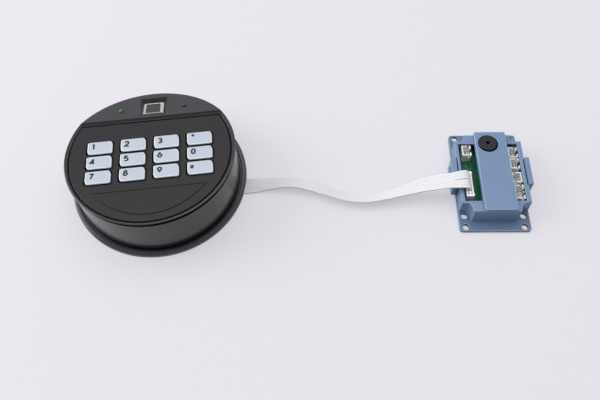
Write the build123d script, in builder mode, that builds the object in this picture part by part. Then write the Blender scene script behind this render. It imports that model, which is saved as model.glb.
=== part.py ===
"""Electronic safe lock: a round keypad with a fingerprint reader, a flat ribbon cable and a control box.

All sizes are in millimetres. The origin is the centre of the keypad's back face, which lies on the
door or table; +Z points out of that face, +X runs from the keypad towards the control box.
"""

import os
from math import radians, sqrt, tan

from build123d import *

# Shared by all cuts: how far a cutter runs past the face it opens
overrun = 1.0
face_tolerance = 0.05        # for choosing the edges that lie in a face

# Keypad as a whole
keypad_turn = 6.5            # degrees about Z, as it lies beside the control box
face_height = 32.2           # middle of the sloping face above the door
face_slope = 3.45            # degrees, the far side is lower
rim_radius = 51.5
lunette_length = 24.2        # from the ridge across the face to the far rim
lunette_slope = 13.0         # degrees more than the face
lunette_start = rim_radius - lunette_length

# Round housing
wall_base_radius = rim_radius
wall_draft = 1.9             # degrees
housing_wall = 2.0
deck_thickness = 2.0
neck_height = 1.5            # shadow gap round the wall, under the faceplate
neck_depth = 1.2
board_boss_radius = 2.2
board_boss_height = 2.2
board_boss_inset = 8.0       # from the ends of the keypad board

# Base that is screwed to the door: the housing's foot stands in a groove inside its raised ring
ring_height = 3.2
ring_groove_gap = 0.55
ring_slope_width = 0.35
ring_crown_width = 1.85      # flat top of the ring
ring_edge_chamfer = 0.9
groove_floor = 1.9
register_gap = 0.4           # inside the housing's wall
base_floor = 2.8
collar_step = 1.8
collar_wall = 1.8
collar_height = 6.4
bayonet_lug_count = 3
bayonet_lug_width = 18.0
bayonet_lug_reach = 1.3
bayonet_lug_height = 1.8
bayonet_clearance = 0.25
fixing_hole_spacing = 41.3
fixing_hole_radius = 2.2
fixing_head_radius = 4.2
fixing_head_depth = 0.8
cable_slot_length = 27.0
cable_slot_width = 14.0
cable_slot_shift = -6.0
groove_outer_radius = wall_base_radius + ring_groove_gap
ring_crown_inner = groove_outer_radius + ring_slope_width
base_radius = ring_crown_inner + ring_crown_width + ring_edge_chamfer
register_radius = wall_base_radius - housing_wall - register_gap
collar_radius = register_radius - collar_step

# Faceplate
plate_thickness = 2.2
rim_chamfer = 0.4
post_radius = 2.5
post_short_of_deck = 0.2
post_hole_clearance = 0.3
post_wall_gap = 0.3          # from the screw heads to the housing's wall
post_board_gap = 2.7         # from the screw heads to the keypad board
post_ridge_gap = 0.2         # from the screw heads to the sloping part of the deck

# Key panel, let into the faceplate
rim_width = 2.9
ridge_width = 3.5            # of the faceplate between the panel and the lunette
panel_gap = 0.6
panel_thickness = 1.0
panel_edge_chamfer = 0.25
panel_groove_inset = 4.8
panel_groove_key_gap = 5.8
panel_groove_width = 0.5
panel_groove_depth = 0.3
panel_radius = rim_radius - rim_width
panel_chord = lunette_start - ridge_width

# Keys: their spacing and their middle follow the panel's radius
key_column_count = 4
key_row_count = 3
key_spacing_shares = (0.4115, 0.2263)
key_middle_share = -0.1173
key_gap_across = 5.0
key_gap_along = 2.0
key_proud = 1.2
key_chamfer = 0.45
key_large_round = 2.2
key_small_round = 1.1
key_clearance = 0.25
key_flange_reach = 0.6
key_flange_thickness = 0.8
key_flange_gap = 0.1
key_stem_inset_across = 3.5
key_stem_inset_along = 2.5
key_stem_depth = 1.3
key_travel = 1.0
key_field_clearance = 1.2
key_names = (("7", "8", "9", "hash"), ("4", "5", "6", "0"), ("1", "2", "3", "star"))
key_pitch_across = key_spacing_shares[0] * panel_radius
key_pitch_along = key_spacing_shares[1] * panel_radius
key_field_middle = key_middle_share * panel_radius
key_length = key_pitch_across - key_gap_across
key_width = key_pitch_along - key_gap_along

# Rubber mat and keypad board
mat_thickness = 1.0
mat_margin = 0.5
dome_radius = 2.6
dome_clearance = 0.2
keypad_board_margin_across = 0.7
keypad_board_margin_along = 5.7
keypad_board_round = 10.0
board_thickness = 1.6

# Fingerprint reader, measured on the sloping lunette from its ridge
sensor_across = 1.0
sensor_along = 8.3
bezel_length = 11.1
bezel_width = 11.8
bezel_chamfer = 0.9
bezel_rim = 1.5
bezel_height = 2.1
scoop_depth = 1.9
scoop_side = 1.4
scoop_far = 4.1
scoop_near = 0.3
well_wall = 1.3
well_depth = 4.2
well_clearance = 0.3
glass_thickness = 0.8
glass_below_rim = 0.45
glass_clearance = 0.1
module_clearance = 0.2
module_board_reach = 1.6
module_board_thickness = 1.0

# Indicator lamps
lamp_across = 19.9
lamp_along = 9.1
lamp_radius = 1.5
lamp_clearance = 0.15
lamp_proud = 1.3
lamp_flange_radius = 1.9
lamp_flange_height = 1.0
lamp_body_depth = 5.5
lamp_nose_shares = ((1.0, 0.0), (0.78, 0.63))

# Small screws
faceplate_screw_head_radius = 3.1
faceplate_screw_head_height = 1.2
screw_shank_radius = 0.9
screw_pilot_clearance = 0.1
screw_tip_gap = 0.2
pilot_depth = 2.4
board_screw_head_radius = 1.9
board_screw_head_height = 1.4
board_screw_hole_radius = 1.1

# Keypad end of the cable
wire_count = 6
wire_pitch = 1.7
wire_thickness = 1.2
channel_clearance = 0.5
channel_depth = 1.5
cable_run_along = -12.5      # the cable channel from the middle of the keypad
cable_drop_across = -2.0
cable_bend = 3.0

# Plug and header family with a 2 mm pitch
plug_pitch = 2.0
plug_end = 1.9
plug_width = 4.5
plug_top_height = 2.0
plug_header_height = 6.0
plug_header_wall = 0.55
plug_header_floor = 1.2
plug_fit = 0.1
plug_hole = 0.8
plug_hole_depth = 0.9
plug_slot_length = 0.9
plug_slot_width = 0.6
plug_rib_reach = 0.35
plug_rib_length = 1.2
keypad_plug_way_count = 6
control_plug_way_count = 8

# Header family with a 2.5 mm pitch
header_pitch = 2.5
header_end = 2.45
header_width = 5.75
header_height = 7.0
header_wall = 0.75
header_floor = 1.3
header_gap_width = 1.7
header_gap_depth = 4.6
header_notch_width = 0.9
header_notch_depth = 2.2
header_notch_inset = 0.35
pin_side = 0.64
pin_height = 3.6
plug_pin_side = 0.5
two_way_count = 2
three_way_count = 3

# Control board: a row of headers behind the right window sets the board's length and the cover's
board_clearance = 0.5
header_row_across = 15.125   # of the right row from the box's middle
service_header_gap = 3.55    # from the cover's near pockets
alarm_header_gap = 1.75      # from the header before it in the row
solenoid_header_gap = 2.6
door_header_gap = 1.0
far_header_gap = 2.2         # from the row to the cover's far wall, inside
battery_header_gap = 0.7
battery_header_window_gap = 1.7
control_plug_window_gap = 0.8
control_plug_near_gap = 3.5

# Control box: cover, whose underside clears the headers
near_wall_inset = 7.6        # from the flange's near edge
far_wall_inset = 7.3
cover_inset = 0.5            # from the flange's sides
cover_wall = 1.5
cover_top = 1.2
cover_draft = 0.8            # degrees
header_cover_gap = 0.2
header_window_gap = 0.1
nose_half_width = 14.2
pocket_lean = 0.9
pocket_depth_near = 5.8
pocket_depth_far = 5.0
pocket_corner = 1.9
window_side = 2.9            # from the cover's side walls
window_near_gap = 1.5        # from its near and far walls
window_far_gap = 1.8
bridge_middle = 1.5
bridge_half_width = 9.9
bridge_rise = 1.0
bridge_set_back = 0.7
bridge_round = 1.2
bridge_edge_chamfer = 0.35

# Control box: base
box_across = 208.1           # middle of the control box from the middle of the keypad
box_along = -39.1            # near edge of its flange
flange_thickness = 2.0
flange_corner_round = 2.0
box_floor = 1.2
mount_hole_radius = 1.9
outer_hole_side = 3.75       # from the flange's sides
outer_hole_end = 2.8         # from the flange's ends
inner_hole_side = 3.55
inner_hole_pocket = 2.8      # from the cover's near wall
clip_length = 19.5
clip_shift = 1.05            # of the clips from the flange's middle
clip_recess = 0.8            # in the cover's sides, behind the clips
clip_recess_margin = 0.4
clip_gap = 0.7
clip_thickness = 3.2
clip_window_height = 2.6
clip_window_bottom = 6.0
clip_window_margin = 4.0
catch_reach = 1.6
catch_clearance = 0.2
standoff_height = 1.6
standoff_radius = 2.4
standoff_across = 9.8
standoff_near_gap = 5.0      # from the cover's end walls
standoff_far_gap = 4.7

# Buzzer, at the far end of the control board
buzzer_across = -0.2
buzzer_wall_gap = 1.7        # from the cover's far wall
buzzer_radius = 6.1
buzzer_height = 9.5
buzzer_stand = 0.5
buzzer_foot_radius = 4.5
buzzer_hole_radius = 1.25
buzzer_hole_depth = 3.0
buzzer_edge_chamfer = 0.4
buzzer_clearance = 0.2

# Chips on the control board, under the bridge
chip_length = 9.9
chip_width = 6.0
chip_height = 1.8
chip_shift = 1.0             # of the chip from the bridge's middle
chip_driver_gap = 3.3
driver_length = 6.5
driver_width = 6.1
driver_height = 2.3
driver_shift = 2.5
driver_near_gap = 1.85       # from the cover's near pockets
capacitor_radius = 3.15
capacitor_height = 5.4
capacitor_header_gap = 1.6
capacitor_chip_gap = 3.9
chip_edge = 0.3

# Free ribbon: route points from the keypad's edge to the control plug, from the keypad's middle
ribbon_straight_exit = 8.0
ribbon_route = (
    (73.0, -4.6, 1.8),
    (84.0, -4.9, 2.9),
    (95.5, -6.8, 3.3),
    (107.0, -11.4, 3.1),
    (118.0, -15.7, 3.0),
    (129.5, -17.3, 3.1),
    (141.0, -15.9, 3.4),
    (151.5, -13.3, 4.8),
    (160.5, -11.5, 7.3),
    (169.0, -10.8, 10.8),
    (177.0, -10.6, 14.0),
    (185.0, -10.3, 16.2),
)
plug_bend_rise = 3.8         # of the ribbon's last point above the plug that it drops into

# Planes
keypad_plane = Plane.XY.rotated((0, 0, keypad_turn))
face_plane = Plane(keypad_plane.location * Location((0, 0, face_height), (-face_slope, 0, 0)))
lunette_plane = Plane(face_plane.location * Location((0, lunette_start, 0), (-lunette_slope, 0, 0)))
box_plane = Plane(origin=(box_across, box_along, 0))

# Depths below the face, counted down from it
deck_bottom = plate_thickness + deck_thickness
keypad_board_top = deck_bottom + board_boss_height
keypad_board_bottom = keypad_board_top + board_thickness
flange_top = panel_thickness + key_flange_gap
stem_bottom = flange_top + key_flange_thickness + key_stem_depth
dome_top = stem_bottom + key_travel + dome_clearance


def row_length(way_count):
    """Length of a 2.5 mm header."""
    return (way_count - 1) * header_pitch + 2 * header_end


two_way_length = row_length(two_way_count)
three_way_length = row_length(three_way_count)
pocket_near = near_wall_inset + pocket_depth_near
service_header_along = pocket_near + service_header_gap + three_way_length / 2
alarm_header_along = service_header_along + (three_way_length + two_way_length) / 2 + alarm_header_gap
solenoid_header_along = alarm_header_along + two_way_length + solenoid_header_gap
door_header_along = solenoid_header_along + two_way_length + door_header_gap
inner_far_wall = door_header_along + two_way_length / 2 + far_header_gap
pocket_far = inner_far_wall + cover_wall
far_wall_along = pocket_far + pocket_depth_far
flange_length = far_wall_along + far_wall_inset
window_outer = header_row_across + header_width / 2 + header_window_gap
window_near = pocket_near + window_near_gap
window_far = pocket_far - window_far_gap
cover_width = 2 * (window_outer + window_side)
flange_width = cover_width + 2 * cover_inset
board_top = box_floor + standoff_height + board_thickness
cover_height = board_top + header_height + header_cover_gap + cover_top
buzzer_along = far_wall_along - buzzer_radius - buzzer_wall_gap
chip_across = bridge_middle + chip_shift
driver_across = bridge_middle + driver_shift
capacitor_across = header_row_across - header_width / 2 - capacitor_header_gap - capacitor_radius
driver_along = pocket_near + driver_near_gap + driver_length / 2
chip_along = driver_along + (driver_length + chip_length) / 2 + chip_driver_gap
capacitor_along = chip_along + chip_length / 2 + capacitor_chip_gap + capacitor_radius
battery_header_across = -window_outer + battery_header_window_gap + header_width / 2
battery_header_along = inner_far_wall - battery_header_gap - two_way_length / 2

# Places that follow from the sizes above
field_margin = key_flange_reach + key_field_clearance
field_length = (key_column_count - 1) * key_pitch_across + key_length + 2 * field_margin
field_width = (key_row_count - 1) * key_pitch_along + key_width + 2 * field_margin
keypad_board_length = field_length + 2 * keypad_board_margin_across
keypad_board_width = field_width + 2 * keypad_board_margin_along
boss_across = keypad_board_length / 2 - board_boss_inset
boss_along = field_width / 2 + board_boss_radius
board_boss_places = [
    (side * boss_across, key_field_middle + end * boss_along) for side in (-1, 1) for end in (-1, 1)
]
post_circle = (
    wall_base_radius
    - housing_wall
    - face_height * tan(radians(wall_draft))
    - faceplate_screw_head_radius
    - post_wall_gap
)
post_far = (
    lunette_start
    - deck_bottom * tan(radians(lunette_slope / 2))
    - faceplate_screw_head_radius
    - post_ridge_gap
)
post_near = key_field_middle - keypad_board_width / 2 - post_board_gap - faceplate_screw_head_radius
post_places = [
    (side * sqrt(post_circle**2 - along**2), along) for side in (-1, 1) for along in (post_near, post_far)
]
header_places = (
    ("header_battery", battery_header_across, battery_header_along, two_way_count, 0),
    ("header_door", header_row_across, door_header_along, two_way_count, 0),
    ("header_solenoid", header_row_across, solenoid_header_along, two_way_count, 0),
    ("header_alarm", header_row_across, alarm_header_along, two_way_count, 180),
    ("header_service", header_row_across, service_header_along, three_way_count, 0),
)
control_plug_length = (control_plug_way_count - 1) * plug_pitch + 2 * plug_end
control_plug_across = -window_outer + control_plug_window_gap + plug_width / 2
control_plug_along = window_near + control_plug_near_gap + control_plug_length / 2

parts_folder = "parts"
os.makedirs(parts_folder, exist_ok=True)


def save(piece, name):
    """Label a finished piece and write it under its own name."""
    piece.label = name
    export_step(piece, os.path.join(parts_folder, name + ".step"))


def on_keypad(across, along, height):
    """A point given in the keypad's own directions."""
    return keypad_plane.from_local_coords(Vector(across, along, height))


def drum(base, taper, start, drop):
    """A drum round the keypad's axis, cut off by the face and the lunette, each lowered by drop."""
    with BuildPart() as body:
        with BuildSketch(keypad_plane.offset(start)):
            Circle(base)
        extrude(amount=face_height + rim_radius * tan(radians(face_slope)) - start + overrun, taper=taper)
        split(bisect_by=face_plane.offset(-drop), keep=Keep.BOTTOM)
        split(bisect_by=lunette_plane.offset(-drop), keep=Keep.BOTTOM)
    return body.part


# Base ring: a moulded disc with a crowned rim, a groove for the housing and a bayonet collar
cable_exit_across = sqrt(base_radius**2 - cable_run_along**2)
ribbon_width = wire_count * wire_pitch
channel_width = ribbon_width + 2 * channel_clearance
with BuildPart() as base_ring:
    with BuildSketch(Plane.XZ):
        with BuildLine():
            Polyline(
                (0, 0),
                (base_radius, 0),
                (base_radius, ring_height - ring_edge_chamfer),
                (base_radius - ring_edge_chamfer, ring_height),
                (ring_crown_inner, ring_height),
                (groove_outer_radius, groove_floor),
                (register_radius, groove_floor),
                (register_radius, base_floor),
                (0, base_floor),
                (0, 0),
            )
        make_face()
    revolve(axis=Axis.Z)
    with BuildSketch(keypad_plane.offset(base_floor)):
        Circle(collar_radius)
        Circle(collar_radius - collar_wall, mode=Mode.SUBTRACT)
    extrude(amount=collar_height)
    with BuildSketch(keypad_plane.offset(base_floor + collar_height - bayonet_lug_height)):
        with PolarLocations(collar_radius, bayonet_lug_count, start_angle=90):
            Rectangle(2 * bayonet_lug_reach, bayonet_lug_width)
        Circle(collar_radius + bayonet_lug_reach, mode=Mode.INTERSECT)
        Circle(collar_radius - collar_wall / 2, mode=Mode.SUBTRACT)
    extrude(amount=bayonet_lug_height)
    with BuildSketch(keypad_plane):
        with Locations((0, cable_slot_shift)):
            SlotOverall(cable_slot_length, cable_slot_width, rotation=90)
    extrude(amount=base_floor, mode=Mode.SUBTRACT)
    with BuildSketch(keypad_plane):
        with Locations((0, cable_run_along)):
            Rectangle(base_radius, channel_width, align=(Align.MIN, Align.CENTER))
    extrude(amount=channel_depth, mode=Mode.SUBTRACT)
    with Locations(keypad_plane.offset(base_floor)):
        with PolarLocations(fixing_hole_spacing / 2, 2):
            CounterBoreHole(fixing_hole_radius, fixing_head_radius, fixing_head_depth)
save(base_ring.part, "base_ring")

# Housing: a drafted wall closed by a deck, with an opening for the keys and bosses for their board
well_length = bezel_length + 2 * (scoop_side + well_wall)
well_width = bezel_width + scoop_near + scoop_far + 2 * well_wall
well_along = sensor_along + (scoop_far - scoop_near) / 2
bayonet_top = base_floor + collar_height - bayonet_lug_height - bayonet_clearance
with BuildPart() as neck_cutter:
    add(drum(wall_base_radius + overrun, wall_draft, groove_floor, plate_thickness - overrun))
    add(
        drum(wall_base_radius + 2 * overrun, wall_draft, groove_floor - overrun, plate_thickness + neck_height),
        mode=Mode.SUBTRACT,
    )
    add(
        drum(wall_base_radius - neck_depth, wall_draft, groove_floor - overrun, plate_thickness - 2 * overrun),
        mode=Mode.SUBTRACT,
    )
with BuildPart() as housing:
    add(drum(wall_base_radius, wall_draft, groove_floor, plate_thickness))
    add(
        drum(wall_base_radius - housing_wall, wall_draft, groove_floor - overrun, deck_bottom),
        mode=Mode.SUBTRACT,
    )
    add(neck_cutter.part, mode=Mode.SUBTRACT)
    with BuildSketch(face_plane.offset(-keypad_board_top)):
        with Locations(*board_boss_places):
            Circle(board_boss_radius)
    extrude(amount=board_boss_height + deck_thickness / 2)
    with BuildSketch(face_plane.offset(-keypad_board_top)):
        with Locations(*board_boss_places):
            Circle(screw_shank_radius + screw_pilot_clearance)
    extrude(amount=pilot_depth, mode=Mode.SUBTRACT)
    with BuildSketch(face_plane.offset(-deck_bottom - overrun)):
        with Locations((0, key_field_middle)):
            Rectangle(field_length, field_width)
        with Locations(*post_places):
            Circle(post_radius + post_hole_clearance)
    extrude(amount=deck_thickness + 2 * overrun, mode=Mode.SUBTRACT)
    with BuildSketch(lunette_plane.offset(-deck_bottom - overrun)):
        with Locations((sensor_across, well_along)):
            Rectangle(well_length + 2 * well_clearance, well_width + 2 * well_clearance)
        with Locations((-lamp_across, lamp_along), (lamp_across, lamp_along)):
            Circle(lamp_flange_radius + lamp_clearance)
    extrude(amount=deck_thickness + 2 * overrun, mode=Mode.SUBTRACT)
    with BuildSketch(keypad_plane.offset(base_floor + bayonet_clearance)):
        with PolarLocations(wall_base_radius - housing_wall, bayonet_lug_count, start_angle=90):
            Rectangle(2 * housing_wall, bayonet_lug_width)
        Circle(wall_base_radius - housing_wall / 2, mode=Mode.INTERSECT)
        Circle(collar_radius + bayonet_clearance, mode=Mode.SUBTRACT)
    extrude(amount=bayonet_top - base_floor - bayonet_clearance)
save(housing.part, "housing")

# Faceplate: a thin cap that overhangs the wall, with a D-shaped recess and a well for the reader
recess_radius = panel_radius + panel_gap
recess_chord = panel_chord + panel_gap
scoop_length = bezel_length + 2 * scoop_side
scoop_width = bezel_width + scoop_near + scoop_far
with BuildPart() as faceplate:
    add(drum(rim_radius, 0, base_floor, 0))
    add(drum(rim_radius + overrun, 0, groove_floor, plate_thickness), mode=Mode.SUBTRACT)
    rim_edges = faceplate.edges().filter_by(
        lambda edge: edge.geom_type != GeomType.LINE
        and (
            abs(face_plane.to_local_coords(edge @ 0.5).Z) < face_tolerance
            or abs(lunette_plane.to_local_coords(edge @ 0.5).Z) < face_tolerance
        )
    )
    chamfer(rim_edges, rim_chamfer)
    with BuildSketch(face_plane.offset(-panel_thickness)):
        Circle(recess_radius)
        with Locations((0, recess_chord)):
            Rectangle(
                2 * rim_radius,
                rim_radius,
                align=(Align.CENTER, Align.MIN),
                mode=Mode.SUBTRACT,
            )
    extrude(amount=panel_thickness + overrun, mode=Mode.SUBTRACT)
    with BuildSketch(face_plane.offset(-plate_thickness - overrun)):
        with Locations((0, key_field_middle)):
            Rectangle(field_length, field_width)
    extrude(amount=plate_thickness + overrun, mode=Mode.SUBTRACT)
    with BuildSketch(face_plane.offset(-deck_bottom + post_short_of_deck)):
        with Locations(*post_places):
            Circle(post_radius)
    extrude(amount=deck_thickness)
    with BuildSketch(face_plane.offset(-deck_bottom + post_short_of_deck)):
        with Locations(*post_places):
            Circle(screw_shank_radius + screw_pilot_clearance)
    extrude(amount=pilot_depth, mode=Mode.SUBTRACT)
    with BuildSketch(lunette_plane.offset(-scoop_depth - well_depth)):
        with Locations((sensor_across, well_along)):
            Rectangle(well_length, well_width)
    extrude(amount=well_depth)
    with BuildSketch(lunette_plane.offset(-scoop_depth)):
        with Locations((sensor_across, sensor_along)):
            Rectangle(bezel_length, bezel_width)
    with BuildSketch(lunette_plane):
        with Locations((sensor_across, well_along)):
            Rectangle(scoop_length, scoop_width)
    loft(mode=Mode.SUBTRACT)
    with BuildSketch(lunette_plane.offset(-scoop_depth - well_depth - overrun)):
        with Locations((sensor_across, sensor_along)):
            Rectangle(
                bezel_length - 2 * bezel_rim + 2 * module_clearance,
                bezel_width - 2 * bezel_rim + 2 * module_clearance,
            )
    extrude(amount=well_depth + 2 * overrun, mode=Mode.SUBTRACT)
    with BuildSketch(lunette_plane.offset(-plate_thickness - overrun)):
        with Locations((-lamp_across, lamp_along), (lamp_across, lamp_along)):
            Circle(lamp_radius + lamp_clearance)
    extrude(amount=plate_thickness + 2 * overrun, mode=Mode.SUBTRACT)
save(faceplate.part, "faceplate")


def key_outline(grow):
    """A key's outline, rounder at two opposite corners, grown by a clearance."""
    with BuildSketch() as outline:
        Rectangle(key_length + 2 * grow, key_width + 2 * grow)
        diagonal = outline.vertices().sort_by(Axis((0, 0, 0), (1, 1, 0)))
        fillet([diagonal[0], diagonal[-1]], key_large_round + grow)
        diagonal = outline.vertices().sort_by(Axis((0, 0, 0), (1, -1, 0)))
        fillet([diagonal[0], diagonal[-1]], key_small_round + grow)
    return outline.sketch


# Key panel: a D-shaped inlay with a window for each key and a shallow engraved lunette
panel_groove_radius = panel_radius - panel_groove_inset
key_field_near = key_field_middle - (key_row_count - 1) / 2 * key_pitch_along - key_width / 2
panel_groove_chord = key_field_near - panel_groove_key_gap
with BuildPart() as keypad_panel:
    with BuildSketch(face_plane.offset(-panel_thickness)):
        Circle(panel_radius)
        with Locations((0, panel_chord)):
            Rectangle(
                2 * panel_radius,
                panel_radius,
                align=(Align.CENTER, Align.MIN),
                mode=Mode.SUBTRACT,
            )
    extrude(amount=panel_thickness)
    panel_rim = keypad_panel.edges().filter_by(
        lambda edge: abs(face_plane.to_local_coords(edge @ 0.5).Z) < face_tolerance
    )
    chamfer(panel_rim, panel_edge_chamfer)
    with BuildSketch(face_plane.offset(-panel_thickness)):
        with Locations((0, key_field_middle)):
            with GridLocations(key_pitch_across, key_pitch_along, key_column_count, key_row_count):
                add(key_outline(key_clearance))
    extrude(amount=panel_thickness, mode=Mode.SUBTRACT)
    with BuildSketch(face_plane.offset(-panel_groove_depth)):
        Circle(panel_groove_radius)
        Circle(panel_groove_radius - panel_groove_width, mode=Mode.SUBTRACT)
        with Locations((0, panel_groove_chord)):
            Rectangle(
                2 * panel_groove_radius,
                panel_groove_width,
                align=(Align.CENTER, Align.MAX),
            )
            Rectangle(
                2 * panel_groove_radius,
                2 * panel_groove_radius,
                align=(Align.CENTER, Align.MIN),
                mode=Mode.SUBTRACT,
            )
        Circle(panel_groove_radius, mode=Mode.INTERSECT)
    extrude(amount=panel_groove_depth, mode=Mode.SUBTRACT)
save(keypad_panel.part, "keypad_panel")

# Keys: a cap with bevelled edges, a flange that stops under the panel, and a stem over its dome
face_axis = Axis(face_plane.origin, face_plane.z_dir)
stem_length = key_length - 2 * key_stem_inset_across
stem_width = key_width - 2 * key_stem_inset_along
for row in range(key_row_count):
    for column in range(key_column_count):
        across = (column - (key_column_count - 1) / 2) * key_pitch_across
        along = key_field_middle + (row - (key_row_count - 1) / 2) * key_pitch_along
        with BuildPart() as key:
            with BuildSketch(face_plane.offset(-flange_top)):
                with Locations((across, along)):
                    add(key_outline(0))
            extrude(amount=flange_top + key_proud)
            chamfer(key.edges().group_by(face_axis)[-1], key_chamfer)
            with BuildSketch(face_plane.offset(-flange_top - key_flange_thickness)):
                with Locations((across, along)):
                    Rectangle(key_length + 2 * key_flange_reach, key_width + 2 * key_flange_reach)
            extrude(amount=key_flange_thickness)
            with BuildSketch(face_plane.offset(-stem_bottom)):
                with Locations((across, along)):
                    Rectangle(stem_length, stem_width)
            extrude(amount=key_stem_depth)
        save(key.part, "key_" + key_names[row][column])

# Rubber mat: a sheet on the keypad board with one dome under each stem
with BuildPart() as key_mat:
    with BuildSketch(face_plane.offset(-keypad_board_top)):
        with Locations((0, key_field_middle)):
            Rectangle(field_length - 2 * mat_margin, field_width - 2 * mat_margin)
    extrude(amount=mat_thickness)
    with BuildSketch(face_plane.offset(-keypad_board_top + mat_thickness)):
        with Locations((0, key_field_middle)):
            with GridLocations(key_pitch_across, key_pitch_along, key_column_count, key_row_count):
                Circle(dome_radius)
    extrude(amount=keypad_board_top - mat_thickness - dome_top)
save(key_mat.part, "key_mat")

# Keypad board, screwed to the housing's bosses
with BuildPart() as keypad_board:
    with BuildSketch(face_plane.offset(-keypad_board_bottom)):
        with Locations((0, key_field_middle)):
            RectangleRounded(keypad_board_length, keypad_board_width, keypad_board_round)
        with Locations(*board_boss_places):
            Circle(board_screw_hole_radius, mode=Mode.SUBTRACT)
    extrude(amount=board_thickness)
save(keypad_board.part, "keypad_board")

with BuildPart() as keypad_board_screws:
    with BuildSketch(face_plane.offset(-keypad_board_bottom - board_screw_head_height)):
        with Locations(*board_boss_places):
            Circle(board_screw_head_radius)
    extrude(amount=board_screw_head_height)
    with BuildSketch(face_plane.offset(-keypad_board_bottom)):
        with Locations(*board_boss_places):
            Circle(screw_shank_radius)
    extrude(amount=board_thickness + pilot_depth - screw_tip_gap)
save(keypad_board_screws.part, "keypad_board_screws")

with BuildPart() as faceplate_screws:
    with BuildSketch(face_plane.offset(-deck_bottom - faceplate_screw_head_height)):
        with Locations(*post_places):
            Circle(faceplate_screw_head_radius)
    extrude(amount=faceplate_screw_head_height)
    with BuildSketch(face_plane.offset(-deck_bottom)):
        with Locations(*post_places):
            Circle(screw_shank_radius)
    extrude(amount=post_short_of_deck + pilot_depth - screw_tip_gap)
save(faceplate_screws.part, "faceplate_screws")

# Fingerprint reader: a bevelled metal frame, its glass, and the module behind them
bezel_top = bezel_height - scoop_depth
sensor_plane = Plane(lunette_plane.location * Location((sensor_across, sensor_along, 0)))
reader_length = bezel_length - 2 * bezel_rim
reader_width = bezel_width - 2 * bezel_rim
with BuildPart() as sensor_bezel:
    with BuildSketch(sensor_plane.offset(-scoop_depth)):
        Rectangle(bezel_length, bezel_width)
    extrude(amount=bezel_height)
    chamfer(sensor_bezel.edges().group_by(Axis(sensor_plane.origin, sensor_plane.z_dir))[-1], bezel_chamfer)
    with BuildSketch(sensor_plane.offset(-scoop_depth)):
        Rectangle(reader_length, reader_width)
    extrude(amount=bezel_height, mode=Mode.SUBTRACT)
save(sensor_bezel.part, "sensor_bezel")

glass_top = bezel_top - glass_below_rim
with BuildPart() as sensor_glass:
    with BuildSketch(sensor_plane.offset(glass_top - glass_thickness)):
        Rectangle(reader_length - 2 * glass_clearance, reader_width - 2 * glass_clearance)
    extrude(amount=glass_thickness)
save(sensor_glass.part, "sensor_glass")

module_bottom = scoop_depth + well_depth
with BuildPart() as sensor_module:
    with BuildSketch(sensor_plane.offset(-module_bottom)):
        Rectangle(reader_length - 2 * glass_clearance, reader_width - 2 * glass_clearance)
    extrude(amount=module_bottom + glass_top - glass_thickness)
    with BuildSketch(sensor_plane.offset(-module_bottom - module_board_thickness)):
        Rectangle(reader_length + 2 * module_board_reach, reader_width + 2 * module_board_reach)
    extrude(amount=module_board_thickness)
save(sensor_module.part, "sensor_module")

# Indicator lamps: round-nosed, with a flange under the faceplate
for name, side in (("led_green", -1), ("led_red", 1)):
    lamp_plane = Plane(lunette_plane.location * Location((side * lamp_across, lamp_along, 0)))
    nose = lamp_proud - lamp_radius
    with BuildPart() as lamp:
        with BuildSketch(Plane(lamp_plane.origin, x_dir=lamp_plane.x_dir, z_dir=-lamp_plane.y_dir)):
            with BuildLine():
                Polyline(
                    (0, lamp_proud),
                    (0, -lamp_body_depth),
                    (lamp_radius, -lamp_body_depth),
                    (lamp_radius, -plate_thickness - lamp_flange_height),
                    (lamp_flange_radius, -plate_thickness - lamp_flange_height),
                    (lamp_flange_radius, -plate_thickness),
                    (lamp_radius, -plate_thickness),
                    *[(across * lamp_radius, nose + up * lamp_radius) for across, up in lamp_nose_shares],
                    close=True,
                )
            make_face()
        revolve(axis=Axis(lamp_plane.origin, lamp_plane.z_dir))
    save(lamp.part, name)

# Plug and header family: rows of holes from the middle, and the height of a mated pair
plug_wire_row = plug_width / 2 - plug_rib_length / 2 - plug_hole
plug_slot_row = plug_width / 2 - plug_slot_length - plug_rib_reach
plug_mated_height = plug_header_height + plug_top_height


def plug_header(plane, way_count):
    """An open box of pins with a 2 mm pitch, its long side along the plane's Y."""
    length = (way_count - 1) * plug_pitch + 2 * plug_end
    with BuildPart() as box:
        with BuildSketch(plane):
            Rectangle(plug_width, length)
        extrude(amount=plug_header_height)
        with BuildSketch(plane.offset(plug_header_floor)):
            Rectangle(plug_width - 2 * plug_header_wall, length - 2 * plug_header_wall)
        extrude(amount=plug_header_height - plug_header_floor, mode=Mode.SUBTRACT)
    return box.part


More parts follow.
